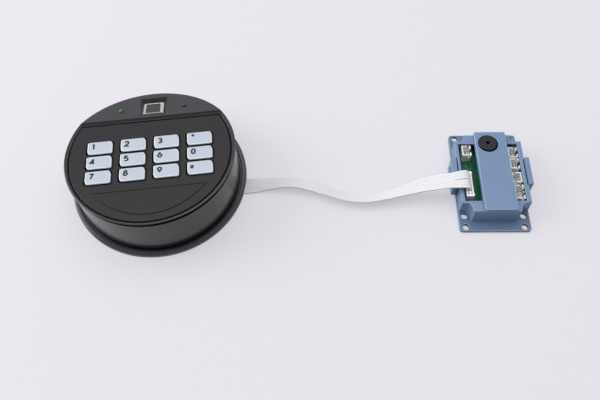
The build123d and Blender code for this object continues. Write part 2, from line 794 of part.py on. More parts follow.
def cable_plug(plane, way_count):
    """A plug seated in that header: a neck over the pins and a head with two rows of holes."""
    length = (way_count - 1) * plug_pitch + 2 * plug_end
    neck_bottom = plug_header_floor + plug_fit
    shrink = 2 * (plug_header_wall + plug_fit)
    with BuildPart() as plug:
        with BuildSketch(plane.offset(neck_bottom)):
            Rectangle(plug_width - shrink, length - shrink)
        extrude(amount=plug_header_height - neck_bottom)
        with BuildSketch(plane.offset(plug_header_height)):
            Rectangle(plug_width, length)
            with Locations((plug_width / 2, 0)):
                with GridLocations(plug_rib_reach, length - 2 * plug_rib_length, 1, 2):
                    Rectangle(2 * plug_rib_reach, plug_rib_length)
        extrude(amount=plug_top_height)
        with BuildSketch(plane.offset(neck_bottom)):
            with GridLocations(plug_pitch, plug_pitch, 1, way_count):
                Rectangle(plug_pin_side + 4 * plug_fit, plug_pin_side + 4 * plug_fit)
        extrude(amount=pin_height, mode=Mode.SUBTRACT)
        with BuildSketch(plane.offset(plug_header_height + plug_top_height - plug_hole_depth)):
            with Locations((-plug_wire_row, 0)):
                with GridLocations(plug_pitch, plug_pitch, 1, way_count):
                    Rectangle(plug_hole, plug_hole)
            with Locations((plug_slot_row, 0)):
                with GridLocations(plug_pitch, plug_pitch, 1, way_count):
                    Rectangle(plug_slot_width, plug_slot_length)
        extrude(amount=plug_hole_depth, mode=Mode.SUBTRACT)
    return plug.part


# Keypad end of the cable: a header under the board, its plug, and the stretch that the keypad holds
ribbon_height = channel_depth / 2
cable_corner = on_keypad(cable_drop_across, cable_run_along, ribbon_height)
socket_place = face_plane.to_local_coords(cable_corner)
socket_plane = Plane(
    origin=face_plane.from_local_coords(Vector(socket_place.X, socket_place.Y, -keypad_board_bottom)),
    x_dir=-face_plane.x_dir,
    z_dir=-face_plane.z_dir,
)
save(plug_header(socket_plane, keypad_plug_way_count), "keypad_socket")
save(cable_plug(socket_plane, keypad_plug_way_count), "keypad_plug")

plug_mouth = socket_plane.offset(plug_mated_height).origin
tilt_drop = ribbon_width / 2 * tan(radians(face_slope)) + plug_fit
ribbon_exit = on_keypad(cable_exit_across, cable_run_along, ribbon_height)
with BuildPart() as ribbon_inner:
    with BuildLine() as inner_path:
        FilletPolyline(
            Vector(cable_corner.X, cable_corner.Y, plug_mouth.Z - tilt_drop),
            cable_corner,
            ribbon_exit,
            radius=cable_bend,
        )
    with BuildSketch(Plane(inner_path.line @ 0, x_dir=keypad_plane.y_dir, z_dir=inner_path.line % 0)):
        Rectangle(ribbon_width, wire_thickness)
    sweep()
save(ribbon_inner.part, "ribbon_inner")

# Free ribbon: straight runs joined by tangent arcs, as large as the runs allow
arc_share = 0.45
straight_end = on_keypad(cable_exit_across + ribbon_straight_exit, cable_run_along, ribbon_height)
control_plug_place = Location((control_plug_across, control_plug_along, board_top))
control_plug_plane = Plane(box_plane.location * control_plug_place)
empty_ways = control_plug_way_count - wire_count
plug_entry = control_plug_plane.from_local_coords(
    Vector(-plug_wire_row, empty_ways * plug_pitch / 2, plug_mated_height)
)
bend_top = plug_entry + Vector(0, 0, plug_bend_rise)
stops = [ribbon_exit, straight_end] + [Vector(*place) for place in ribbon_route] + [bend_top, plug_entry]
runs = [after - before for before, after in zip(stops, stops[1:])]
arc_radii = [
    arc_share * min(before.length, after.length) / tan(radians(before.get_angle(after)) / 2)
    for before, after in zip(runs, runs[1:])
]
with BuildPart() as ribbon_cable:
    with BuildLine() as ribbon_path:
        FilletPolyline(*stops, radius=arc_radii)
    with BuildSketch(Plane(ribbon_exit, x_dir=keypad_plane.y_dir, z_dir=ribbon_path.line % 0)):
        Rectangle(ribbon_width, wire_thickness)
    sweep()
save(ribbon_cable.part, "ribbon_cable")
ribbon_length = sum(edge.length for edge in ribbon_path.edges())
ribbon_volume = ribbon_length * ribbon_width * wire_thickness
print("ribbon length", round(ribbon_length, 1), "radii", [round(radius, 1) for radius in arc_radii])
print("ribbon volume", round(ribbon_cable.part.volume), "section times length", round(ribbon_volume))

# Control box base: a flange plate with six screw holes, standoffs and a clip at each side
flange_middle = flange_length / 2
clip_middle = flange_middle + clip_shift
clip_inner = cover_width / 2 - clip_recess + clip_gap
clip_outer = clip_inner + clip_thickness
outer_holes = [
    (side * (flange_width / 2 - outer_hole_side), along)
    for side in (-1, 1)
    for along in (outer_hole_end, flange_length - outer_hole_end)
]
inner_holes = [
    (side * (flange_width / 2 - inner_hole_side), near_wall_inset + inner_hole_pocket) for side in (-1, 1)
]
standoff_places = [
    (side * standoff_across, along)
    for side in (-1, 1)
    for along in (near_wall_inset + standoff_near_gap, far_wall_along - standoff_far_gap)
]


def cover_outline(inset):
    """The cover seen from above: a broad middle and a narrower nose at each end, between two pockets."""
    nose = nose_half_width + pocket_lean
    right_side = [
        (nose_half_width, near_wall_inset),
        (nose, pocket_near - pocket_corner),
        (nose + pocket_corner, pocket_near),
        (cover_width / 2, pocket_near),
        (cover_width / 2, pocket_far),
        (nose + pocket_corner, pocket_far),
        (nose, pocket_far + pocket_corner),
        (nose_half_width, far_wall_along),
    ]
    left_side = [(-across, along) for across, along in reversed(right_side)]
    with BuildSketch() as outline:
        with BuildLine():
            Polyline(*right_side, *left_side, right_side[0])
        make_face()
        if inset:
            offset(amount=-inset, kind=Kind.INTERSECTION, mode=Mode.REPLACE)
    return outline.sketch


def cover_block(inset, top):
    """The cover's drafted outside, or its hollow when inset by the wall, from the flange up to a height."""
    with BuildPart() as block:
        with BuildSketch(box_plane.offset(flange_thickness)):
            add(cover_outline(inset))
        with BuildSketch(box_plane.offset(top)):
            add(cover_outline(inset + (top - flange_thickness) * tan(radians(cover_draft))))
        loft(ruled=True)
    return block.part


with BuildPart() as control_base:
    with BuildSketch(box_plane):
        with Locations((0, flange_middle)):
            RectangleRounded(flange_width, flange_length, flange_corner_round)
        with Locations((0, clip_middle)):
            Rectangle(2 * clip_outer, clip_length)
    extrude(amount=flange_thickness)
    with BuildSketch(box_plane.offset(box_floor)):
        add(cover_outline(cover_wall + board_clearance))
        with Locations(*standoff_places):
            Circle(standoff_radius, mode=Mode.SUBTRACT)
    extrude(amount=flange_thickness - box_floor, mode=Mode.SUBTRACT)
    with BuildSketch(box_plane.offset(box_floor)):
        with Locations(*standoff_places):
            Circle(standoff_radius)
    extrude(amount=standoff_height)
    with BuildSketch(box_plane):
        for side in (-1, 1):
            with Locations((side * (clip_inner + clip_outer) / 2, clip_middle)):
                Rectangle(clip_thickness, clip_length)
    extrude(amount=cover_height)
    with BuildSketch(box_plane.offset(clip_window_bottom)):
        with Locations((0, clip_middle)):
            Rectangle(2 * clip_outer, clip_length - 2 * clip_window_margin)
            Rectangle(2 * clip_inner, clip_length, mode=Mode.SUBTRACT)
    extrude(amount=clip_window_height, mode=Mode.SUBTRACT)
    with BuildSketch(box_plane):
        with Locations(*outer_holes, *inner_holes):
            Circle(mount_hole_radius)
    extrude(amount=flange_thickness, mode=Mode.SUBTRACT)
    with BuildSketch(box_plane.offset(box_floor + standoff_height)):
        with Locations(*standoff_places):
            Circle(screw_shank_radius + screw_pilot_clearance)
    extrude(amount=-pilot_depth, mode=Mode.SUBTRACT)
save(control_base.part, "control_base")

# Control box cover: thin drafted walls, two windows, a raised bridge with a hole for the buzzer
bridge_length = far_wall_along - near_wall_inset - 2 * bridge_set_back
bridge_along = (far_wall_along + near_wall_inset) / 2
window_along = (window_near + window_far) / 2
bridge_left = bridge_middle - bridge_half_width
bridge_right = bridge_middle + bridge_half_width
with BuildPart() as control_cover:
    add(cover_block(0, cover_height))
    with BuildSketch(box_plane.offset(cover_height - cover_top)):
        with Locations((bridge_middle, bridge_along)):
            RectangleRounded(2 * bridge_half_width, bridge_length, bridge_round)
    extrude(amount=cover_top + bridge_rise)
    chamfer(control_cover.edges().group_by(Axis.Z)[-1], bridge_edge_chamfer)
    add(cover_block(cover_wall, cover_height - cover_top), mode=Mode.SUBTRACT)
    with BuildSketch(box_plane.offset(cover_height - cover_top)):
        with Locations(((bridge_left - window_outer) / 2, window_along)):
            Rectangle(window_outer + bridge_left, window_far - window_near)
        with Locations(((bridge_right + window_outer) / 2, window_along)):
            Rectangle(window_outer - bridge_right, window_far - window_near)
        with Locations((buzzer_across, buzzer_along)):
            Circle(buzzer_radius + buzzer_clearance)
    extrude(amount=cover_top + bridge_rise, mode=Mode.SUBTRACT)
    with BuildSketch(box_plane.offset(flange_thickness)):
        with Locations((0, clip_middle)):
            Rectangle(cover_width + 2 * overrun, clip_length + 2 * clip_recess_margin)
            Rectangle(cover_width - 2 * clip_recess, clip_length + 2 * overrun, mode=Mode.SUBTRACT)
    extrude(amount=cover_height, mode=Mode.SUBTRACT)
    with BuildSketch(box_plane.offset(clip_window_bottom + catch_clearance)):
        with Locations((0, clip_middle)):
            Rectangle(
                cover_width + 2 * catch_reach,
                clip_length - 2 * (clip_window_margin + catch_clearance),
            )
            Rectangle(cover_width - 2 * cover_wall, clip_length, mode=Mode.SUBTRACT)
    extrude(amount=clip_window_height - 2 * catch_clearance)
save(control_cover.part, "control_cover")

# Control board
board_plane = box_plane.offset(board_top)
with BuildPart() as control_board:
    with BuildSketch(box_plane.offset(board_top - board_thickness)):
        add(cover_outline(cover_wall + board_clearance))
        with Locations(*standoff_places):
            Circle(board_screw_hole_radius, mode=Mode.SUBTRACT)
    extrude(amount=board_thickness)
save(control_board.part, "control_board")

with BuildPart() as control_board_screws:
    with BuildSketch(board_plane):
        with Locations(*standoff_places):
            Circle(board_screw_head_radius)
    extrude(amount=board_screw_head_height)
    with BuildSketch(board_plane):
        with Locations(*standoff_places):
            Circle(screw_shank_radius)
    extrude(amount=-board_thickness - pilot_depth + screw_tip_gap)
save(control_board_screws.part, "control_board_screws")

# Buzzer: a round can on a smaller foot, with a sound hole
with BuildPart() as buzzer:
    with BuildSketch(board_plane):
        with Locations((buzzer_across, buzzer_along)):
            Circle(buzzer_foot_radius)
    extrude(amount=buzzer_stand)
    with BuildSketch(board_plane.offset(buzzer_stand)):
        with Locations((buzzer_across, buzzer_along)):
            Circle(buzzer_radius)
    extrude(amount=buzzer_height)
    chamfer(buzzer.edges().group_by(Axis.Z)[-1], buzzer_edge_chamfer)
    with BuildSketch(board_plane.offset(buzzer_stand + buzzer_height - buzzer_hole_depth)):
        with Locations((buzzer_across, buzzer_along)):
            Circle(buzzer_hole_radius)
    extrude(amount=buzzer_hole_depth, mode=Mode.SUBTRACT)
save(buzzer.part, "buzzer")


def open_header(plane, way_count):
    """A box of pins with a 2.5 mm pitch: gaps in the wall on its +X side, a notch at each end beside it."""
    length = row_length(way_count)
    wall_middle = header_width / 2 - header_wall / 2
    notch_across = header_width / 2 - header_wall - header_notch_inset - header_notch_width / 2
    with BuildPart() as box:
        with BuildSketch(plane):
            Rectangle(header_width, length)
        extrude(amount=header_height)
        with BuildSketch(plane.offset(header_floor)):
            Rectangle(header_width - 2 * header_wall, length - 2 * header_wall)
        extrude(amount=header_height - header_floor, mode=Mode.SUBTRACT)
        with BuildSketch(plane.offset(header_height - header_gap_depth)):
            with Locations((wall_middle, 0)):
                with GridLocations(header_pitch, header_pitch, 1, way_count - 1):
                    Rectangle(2 * header_wall, header_gap_width)
        extrude(amount=header_gap_depth, mode=Mode.SUBTRACT)
        with BuildSketch(plane.offset(header_height - header_notch_depth)):
            with Locations((notch_across, 0)):
                Rectangle(header_notch_width, length)
        extrude(amount=header_notch_depth, mode=Mode.SUBTRACT)
    return box.part


# Headers on the control board, and the ribbon's header with its plug
for name, across, along, way_count, turn in header_places:
    header_plane = Plane(board_plane.location * Location((across, along, 0), (0, 0, turn)))
    save(open_header(header_plane, way_count), name)
save(plug_header(control_plug_plane, control_plug_way_count), "ribbon_header")
save(cable_plug(control_plug_plane, control_plug_way_count), "ribbon_plug")

# Contact pins, standing on the floors of their headers
with BuildPart() as contact_pins:
    for name, across, along, way_count, turn in header_places:
        with BuildSketch(board_plane.offset(header_floor)):
            with Locations((across, along)):
                with GridLocations(header_pitch, header_pitch, 1, way_count):
                    Rectangle(pin_side, pin_side)
        extrude(amount=pin_height)
    plug_rows = ((socket_plane, keypad_plug_way_count), (control_plug_plane, control_plug_way_count))
    for plane, way_count in plug_rows:
        with BuildSketch(plane.offset(plug_header_floor)):
            with GridLocations(plug_pitch, plug_pitch, 1, way_count):
                Rectangle(plug_pin_side, plug_pin_side)
        extrude(amount=pin_height)
save(contact_pins.part, "contact_pins")

# Chips under the bridge
with BuildPart() as board_chips:
    with BuildSketch(board_plane):
        with Locations((chip_across, chip_along)):
            Rectangle(chip_width, chip_length)
    extrude(amount=chip_height)
    with BuildSketch(board_plane):
        with Locations((driver_across, driver_along)):
            Rectangle(driver_width, driver_length)
    extrude(amount=driver_height)
    chamfer(board_chips.edges().filter_by(Axis.Z, reverse=True).group_by(Axis.Z)[-1], chip_edge)
    with BuildSketch(board_plane):
        with Locations((capacitor_across, capacitor_along)):
            Circle(capacitor_radius)
    extrude(amount=capacitor_height)
save(board_chips.part, "board_chips")
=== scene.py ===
"""Electronic safe lock: a round keypad with a fingerprint reader, a flat ribbon cable and a control box."""

import math

import bmesh
import bpy
from mathutils import Matrix, Vector


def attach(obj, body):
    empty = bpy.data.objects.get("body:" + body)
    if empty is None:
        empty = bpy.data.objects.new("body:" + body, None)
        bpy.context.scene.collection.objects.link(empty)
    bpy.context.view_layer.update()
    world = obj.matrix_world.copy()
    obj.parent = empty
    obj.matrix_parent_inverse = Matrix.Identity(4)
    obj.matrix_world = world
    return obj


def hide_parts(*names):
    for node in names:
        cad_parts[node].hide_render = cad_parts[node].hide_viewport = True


bl_info = {
    "name": "Electronic safe lock",
    "version": (1, 0, 0),
    "blender": (4, 5, 0),
    "location": "3D View > Sidebar > Safe lock",
    "description": "Keypad, ribbon cable and control box of an electronic safe lock, on a studio table",
    "category": "Object",
}

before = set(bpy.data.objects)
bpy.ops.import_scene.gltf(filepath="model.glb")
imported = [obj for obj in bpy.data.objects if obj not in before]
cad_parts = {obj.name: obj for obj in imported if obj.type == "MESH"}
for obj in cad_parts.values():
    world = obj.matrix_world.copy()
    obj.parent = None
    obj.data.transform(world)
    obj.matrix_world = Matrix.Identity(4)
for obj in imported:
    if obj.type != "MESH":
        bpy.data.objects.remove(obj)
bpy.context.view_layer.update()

MM = 0.001
NEXT_TO_NOTHING = 0.005 * MM     # merges the loose triangles of a copied solid
LEAST_ANGLE = math.radians(25)   # edges are rounded from this angle on
SHARP_ANGLE = math.radians(38)   # and shaded as sharp ones from this
DOWNWARD = -0.7                  # height of the direction of faces that look down, whose edges aren't rounded

# Planes of the keypad, as the solids have them
KEYPAD_TURN = math.radians(6.5)
FACE_HEIGHT = 32.2 * MM
FACE_SLOPE = math.radians(3.45)
LUNETTE_START = 27.3 * MM
LUNETTE_SLOPE = math.radians(13.0)
KEYPAD = Matrix.Rotation(KEYPAD_TURN, 4, "Z")
FACE = KEYPAD @ Matrix.Translation((0, 0, FACE_HEIGHT)) @ Matrix.Rotation(-FACE_SLOPE, 4, "X")
LUNETTE = FACE @ Matrix.Translation((0, LUNETTE_START, 0)) @ Matrix.Rotation(-LUNETTE_SLOPE, 4, "X")
BOX = Matrix.Translation((208.1 * MM, -39.1 * MM, 0))

# Keys, row by row from the near side
KEY_NAMES = (("7", "8", "9", "hash"), ("4", "5", "6", "0"), ("1", "2", "3", "star"))
KEY_PITCH = (20.0 * MM, 11.0 * MM)
KEY_FIELD_MIDDLE = -5.7 * MM
KEY_PROUD = 1.2 * MM
KEY_SKIRT = 1.0 * MM             # how far a cap goes on below the face, to its flange
KEY_UNSHADED = 0.95 * MM             # how far down a cap's sides keep the key colour, above the near-black painted shade of the skirt
KEY_FLATNESS = 0.65              # height of a cap's rounded edge, as a share of its width

# From here on, all sizes are in millimetres
NEAR = 0.1                       # points this near to a plane or an edge lie on it
LEVEL = 0.999                    # faces lie in a plane if their directions agree by more than this share
TOP_LEVEL = 0.98                 # and a cap's faces belong to its top
KEY_HALF = (7.5, 4.5)            # half of a cap's length and width
KEY_ROUNDS = ((1.9, 3.2), (1.0, 1.0), (1.9, 3.2), (1.0, 1.0))     # across and along, from the far right corner
KEY_SHIFT = 0.4                  # of a cap away from the near side
WINDOW_REACH = 0.6               # a window's edge lies within this distance of its cap
WINDOW_SHARE = 1.4               # of the gap on a cap's left and right, against that on its near and far side
WINDOW_SHIFT = (-0.1, 0.5)       # of the windows round the keys

# Signs: share of the digits' height, width of the strokes as a share of a sign's field, and place
SIGN_STROKE = 0.31
SIGN_CORNER = math.radians(42)   # a stroke is parted at corners sharper than this
SIGN_PAST = 0.4                  # and its parts go on past them by this share of their width
SIGN_CLOSED = 0.2                # a stroke whose ends are nearer than this is closed
DIGIT_LOOK = (1.0, SIGN_STROKE, (-3.8, 1.2))
TALL_LOOK = (1.02, SIGN_STROKE, (-3.8, 1.45))
SIGN_LOOKS = {
    "0": TALL_LOOK,
    "6": TALL_LOOK,
    "8": TALL_LOOK,
    "4": (1.0, SIGN_STROKE, (-3.8, 0.9)),
    "hash": (0.74, 0.27, (-4.7, 1.1)),
    "star": (0.64, 0.34, (-3.9, 2.6)),
}

# The inlay and the recess that it lies in
PANEL_RADIUS = 48.6
PANEL_SHIFT = 1.1                # of the inlay's near edge towards the rim
PANEL_SHIFT_RUN = (20.0, 0.0)    # it starts at this place along and is complete at that
PANEL_SHARE = 0.995              # of the inlay's size, against the solid's
PANEL_EDGE = 1.2                 # width of the band in which the points of its edge lie
RECESS_GAP = (0.3, 1.0)          # the recess's wall lies this far outside the inlay's radius
RECESS_CHORD = 24.4              # the recess's straight far edge
LINE_DEPTH = 0.3                 # of the engraved line
LINE_DEEPER = 0.15               # and how much deeper it is cut
LINE_FAR_END = -15.0             # the line lies nearer than this
ARC_FAR_END = -24.0              # and its arc nearer than this, in a band inside the inlay's radius
ARC_BAND = (4.2, 6.0)
ARC_NARROWER = 0.025             # by this share of the arc's width
ARC_SHIFT_RUN = (32.0, 6.0)      # the arc moves with the inlay's edge, fully within the second place across

# The faceplate's rim and the gap under it
PLATE_THICKNESS = 2.2
RIM_INNER = 51.0                 # the rim's points lie outside this radius
RIM_INSET = 1.1                  # width of the rim's thinned edge
RIDGE_REACH = 4.5                # crowded points lie this near to the ridge's ends
RIDGE_DEPTH = 7.0                # no deeper than this
CROWDED = 0.38                   # and this near to each other
NECK_LEDGE = 3.7                 # depth of the wall's ledge under the face
NECK_RADII = (48.0, 50.9)        # the ledge lies between these

# The reader, its hollow and the lamps, on the slope
READER = LUNETTE @ Matrix.Translation((1.0 * MM, 8.3 * MM, 0))
READER_HALF = (5.55, 5.9)        # half of the frame's width and length
READER_SHARES = (1.12, 1.18)     # of the opening's and of the frame's width, against the solids'
READER_FRAME = 4.35              # the frame's own points lie farther out than this
# How far the reader's points are moved away from the near side, each up to its place along
READER_MOVES = ((-5.3, 1.0), (-4.7, 0.2), (0.0, 0.0), (5.3, 0.7), (9.0, 0.6))
HOLLOW_DEPTH = 1.9
HOLLOW_MOVES = (-1.9, 1.4, 1.6)  # of the hollow's left, right and far edge
# Its outline on the slope and, once moved, its walls lie within these: to either side, from the near side, to the far
HOLLOW_OUTLINE = (7.1, -6.4, 10.2)
HOLLOW_WALLS = (9.0, -6.5, 12.0)
LAMP_PLACE = (19.9, 9.1)         # of the right lamp, with the left one opposite
LAMP_REACH = 2.3                 # a lamp and its hole lie within this radius
LAMP_SHIFT = (0.45, -0.3)

# The control box's cover, from the box's own point of reference
COVER_HEIGHT = 12.8
BRIDGE_MIDDLE = 1.5
BRIDGE_HALF = 9.9
BRIDGE_ENDS = (8.3, 62.4)
BUZZER_PLACE = (-0.2, 55.3)
BUZZER_HOLE = 6.3
BUZZER_FOOT = 5.5
BUZZER_SHARE = 0.935             # of the can's width, against the solid's
BUZZER_SHIFT = (-0.25, 0.2, 0.7)
LEFT_WINDOW_EDGE = (-18.5, -17.3)
GAP_HALF = 0.85                  # half of the gap in a header's wall
WALL_REACH = 0.9                 # the wall's points lie within this distance of the header's side
GAP_SHARE = 1.7                  # of the gaps' width, against the solids'

# The control box's base and board, in the same frame
FLANGE_THICKNESS = 2.0
CLIP_INNER = 20                  # the clips lie farther out than this
MOUNT_HOLE_REACH = 1.95          # a mount hole's wall lies within this radius
MOUNT_HOLES = ((-17.75, 2.8), (17.75, 2.8), (-17.95, 10.4), (17.95, 10.4), (-17.75, 67.6), (17.75, 67.6))
BOARD_TOP = 4.4
TRACE_HEIGHT = 0.09              # mostly sunk in the board
# Lines of copper and their widths
BOARD_TRACES = (
    (((-6.4, 13.0), (-6.4, 46.0), (-7.4, 47.0), (-7.4, 59.0)), 0.5),
    (((-7.3, 13.0), (-7.3, 44.5), (-8.3, 45.5), (-8.3, 59.0)), 0.5),
    (((-8.2, 20.0), (-8.2, 43.0), (-11.0, 45.8), (-11.0, 50.5)), 0.4),
    (((-12.4, 41.5), (-10.4, 39.5), (-9.2, 39.5), (-9.2, 24.0)), 0.4),
    (((-12.4, 43.0), (-9.9, 43.0), (-8.7, 41.8)), 0.4),
    (((-13.5, 44.5), (-13.5, 50.0)), 0.9),
    (((-12.1, 31.0), (-10.6, 29.5), (-10.6, 19.0), (-8.2, 16.6)), 0.4),
    (((-12.1, 17.5), (-11.2, 16.6), (-11.2, 12.6)), 0.5),
)

# Route of the free ribbon, as the solid has it
RIBBON_ROUTE = [
    (54.785, -6.339, 0.75),
    (62.73, -5.43, 0.75),
    (73.0, -4.6, 1.8),
    (84.0, -4.9, 2.9),
    (95.5, -6.8, 3.3),
    (107.0, -11.4, 3.1),
    (118.0, -15.7, 3.0),
    (129.5, -17.3, 3.1),
    (141.0, -15.9, 3.4),
    (151.5, -13.3, 4.8),
    (160.5, -11.5, 7.3),
    (169.0, -10.8, 10.8),
    (177.0, -10.6, 14.0),
    (185.0, -10.3, 16.2),
    (192.2, -9.8, 16.2),
    (192.2, -9.8, 12.4),
]
# Share of the twist at distances from the keypad's axis, in millimetres
RIBBON_TWIST = (
    (60, 0.0), (72, 0.45), (80, 0.74), (87, 0.82), (95, 0.64), (102, 0.64), (110, 0.86), (118, 0.9),
    (132, 0.96), (139, 1.0), (147, 0.88), (154, 0.66), (162, 0.34), (171, 0.0),
)
RIBBON_WIDTH = 10.2 * MM
WIRE_COUNT = 6
WIRE_SIDES = 14                  # of a wire's section
WIRE_HALF = 0.504                # half of a wire's width, as a share of the pitch
PLUG_PITCH = 2.0 * MM
SPLIT_WIDTH = 0.4 * MM           # of the split between the middle wires near the plug
PLUG_SHIFT = (1.2 * MM, -1.0 * MM, 0)     # of the ribbon near its plug, beside the solid's route
# Where these changes start and are complete, in millimetres before the plug
FAN_RUN = (16.0, 4.0)
SPLIT_RUN = (15.0, 8.0)
SPLIT_END = (5.0, 1.5)
PLUG_SHIFT_RUN = (32.0, 8.0)


def paint(code):
    """An sRGB hex value as the linear colour that a shader socket takes."""
    channels = [int(code[place:place + 2], 16) / 255 for place in (1, 3, 5)]
    linear = [value / 12.92 if value <= 0.04045 else ((value + 0.055) / 1.055) ** 2.4 for value in channels]
    return (*linear, 1.0)


def colour(name, description, code):
    """A colour that a user may change."""
    return bpy.props.FloatVectorProperty(
        name=name, description=description, subtype="COLOR", size=4, min=0.0, max=1.0, default=paint(code)
    )


def length(name, description, value):
    """A size that a user may change, given in millimetres."""
    return bpy.props.FloatProperty(
        name=name, description=description, subtype="DISTANCE", unit="LENGTH", min=0.0, default=value * MM
    )


class SafeLockColours(bpy.types.PropertyGroup):
    """Colours of the lock and of the table."""

    housing: colour("Housing", "Black plastic of the keypad's housing, faceplate and base", "#1b1b1e")
    panel: colour("Panel", "Black plastic of the inlay round the keys", "#171619")
    keys: colour("Keys", "Pale blue plastic of the key caps", "#bbc4d0")
    ink: colour("Digits", "Ink of the digits on the keys", "#050507")
    box: colour("Box", "Blue-grey plastic of the control box", "#6c87aa")
    board: colour("Board", "Solder mask of the circuit boards", "#0a5c39")
    ribbon: colour("Ribbon", "Insulation of the ribbon's wires", "#e4e4e9")
    connectors: colour("Connectors", "Nylon of the headers and plugs", "#f8f7f3")
    table: colour("Table", "The table under the lock", "#e6e4ea")


class SafeLockSizes(bpy.types.PropertyGroup):
    """Sizes of the finer shapes."""

    housing_edge: length("Housing edges", "Rounding of the keypad housing's edges", 0.3)
    panel_edge: length("Panel edges", "Rounding of the panel's and its windows' edges", 0.12)
    key_edge: length("Key edges", "Rounding of the key caps' edges", 0.8)
    key_gap: length("Key gap", "How much wider the windows look than the solid's round the keys", 0.5)
    rim_undercut: length("Rim undercut", "How much thinner the faceplate is at its rim's edge", 1.3)
    neck_drop: length("Neck drop", "How far the wall's ledge under the faceplate is lowered", 0.7)
    box_edge: length("Box edges", "Rounding of the control box's edges", 0.35)
    bridge_reach: length("Bridge reach", "How far the box's bridge stands out over the cover's far end", 1.9)
    bridge_rise: length("Bridge rise", "How far the box's bridge is raised", 0.8)
    digit_height: length("Digit height", "Height of the digits on the keys", 4.45)
    ink_height: length("Ink height", "How far the ink stands on a key", 0.03)
    wire_thickness: length("Wire thickness", "Thickness of the ribbon's wires", 1.05)
    ribbon_twist: bpy.props.FloatProperty(
        name="Ribbon twist",
        description="How far the ribbon's near edge is raised where it is turned most",
        subtype="ANGLE",
        unit="ROTATION",
        default=math.radians(35.0),
    )


def set_inputs(tree, node, inputs):
    """Link or set a node's inputs, given by name or number."""
    for name, value in inputs.items():
        if isinstance(value, bpy.types.NodeSocket):
            tree.links.new(value, node.inputs[name])
        else:
            node.inputs[name].default_value = value


def tree_node(tree, kind, inputs=None, **settings):
    """Add a shader node with its settings, and set or link its inputs."""
    made = tree.nodes.new(kind)
    for name, value in settings.items():
        setattr(made, name, value)
    set_inputs(tree, made, inputs or {})
    return made


def new_material(name, base, roughness, metallic=0.0, **sockets):
    """A material with its shader, its tree, and the object's own coordinates."""
    material = bpy.data.materials.new(name)
    material.use_nodes = True
    material.diffuse_color = base
    tree = material.node_tree
    shader = tree.nodes["Principled BSDF"]
    set_inputs(tree, shader, {"Base Color": base, "Roughness": roughness, "Metallic": metallic, **sockets})
    place = tree_node(tree, "ShaderNodeTexCoord").outputs["Object"]
    return material, tree, shader, place


def darker(base, share):
    """The same colour with that share of its light."""
    return (*[value * share for value in base[:3]], 1.0)


def moulded(name, base, roughness, grain, depth, mottle=0.05, gloss_spread=0.05, shine=0.5):
    """Injection-moulded plastic: a spark-eroded mould's fine grain, and slow changes of tone and gloss across it."""
    base = paint(base) if isinstance(base, str) else tuple(base)
    material, tree, shader, place = new_material(name, base, roughness, **{"Specular IOR Level": shine})
    grain_noise = tree_node(
        tree, "ShaderNodeTexNoise", {"Vector": place, "Scale": 1 / (grain * MM), "Detail": 2.0}
    )
    slow_noise = tree_node(tree, "ShaderNodeTexNoise", {"Vector": place, "Scale": 1 / (22 * MM), "Detail": 3.0})
    bump = tree_node(
        tree, "ShaderNodeBump", {"Height": grain_noise.outputs["Fac"], "Distance": depth * MM, "Strength": 0.6}
    )
    tone = tree_node(
        tree,
        "ShaderNodeMapRange",
        {"Value": slow_noise.outputs["Fac"], "From Min": 0.35, "From Max": 0.65},
        data_type="FLOAT",
    )
    blend = tree_node(
        tree,
        "ShaderNodeMix",
        {"Factor": tone.outputs["Result"], 6: darker(base, 1 - mottle), 7: darker(base, 1 + mottle)},
        data_type="RGBA",
    )
    gloss = tree_node(
        tree,
        "ShaderNodeMapRange",
        {
            "Value": grain_noise.outputs["Fac"],
            "From Min": 0.3,
            "From Max": 0.7,
            "To Min": roughness - gloss_spread,
            "To Max": roughness + gloss_spread,
        },
    )
    finish_shader(tree, shader, blend, gloss, bump)
    return material


def finish_shader(tree, shader, blend=None, gloss=None, bump=None):
    """Feed the shader with a blend of colours, a roughness and a relief, as far as a material has them."""
    for node, output, name in ((blend, 2, "Base Color"), (gloss, "Result", "Roughness"), (bump, "Normal", "Normal")):
        if node:
            tree.links.new(node.outputs[output], shader.inputs[name])


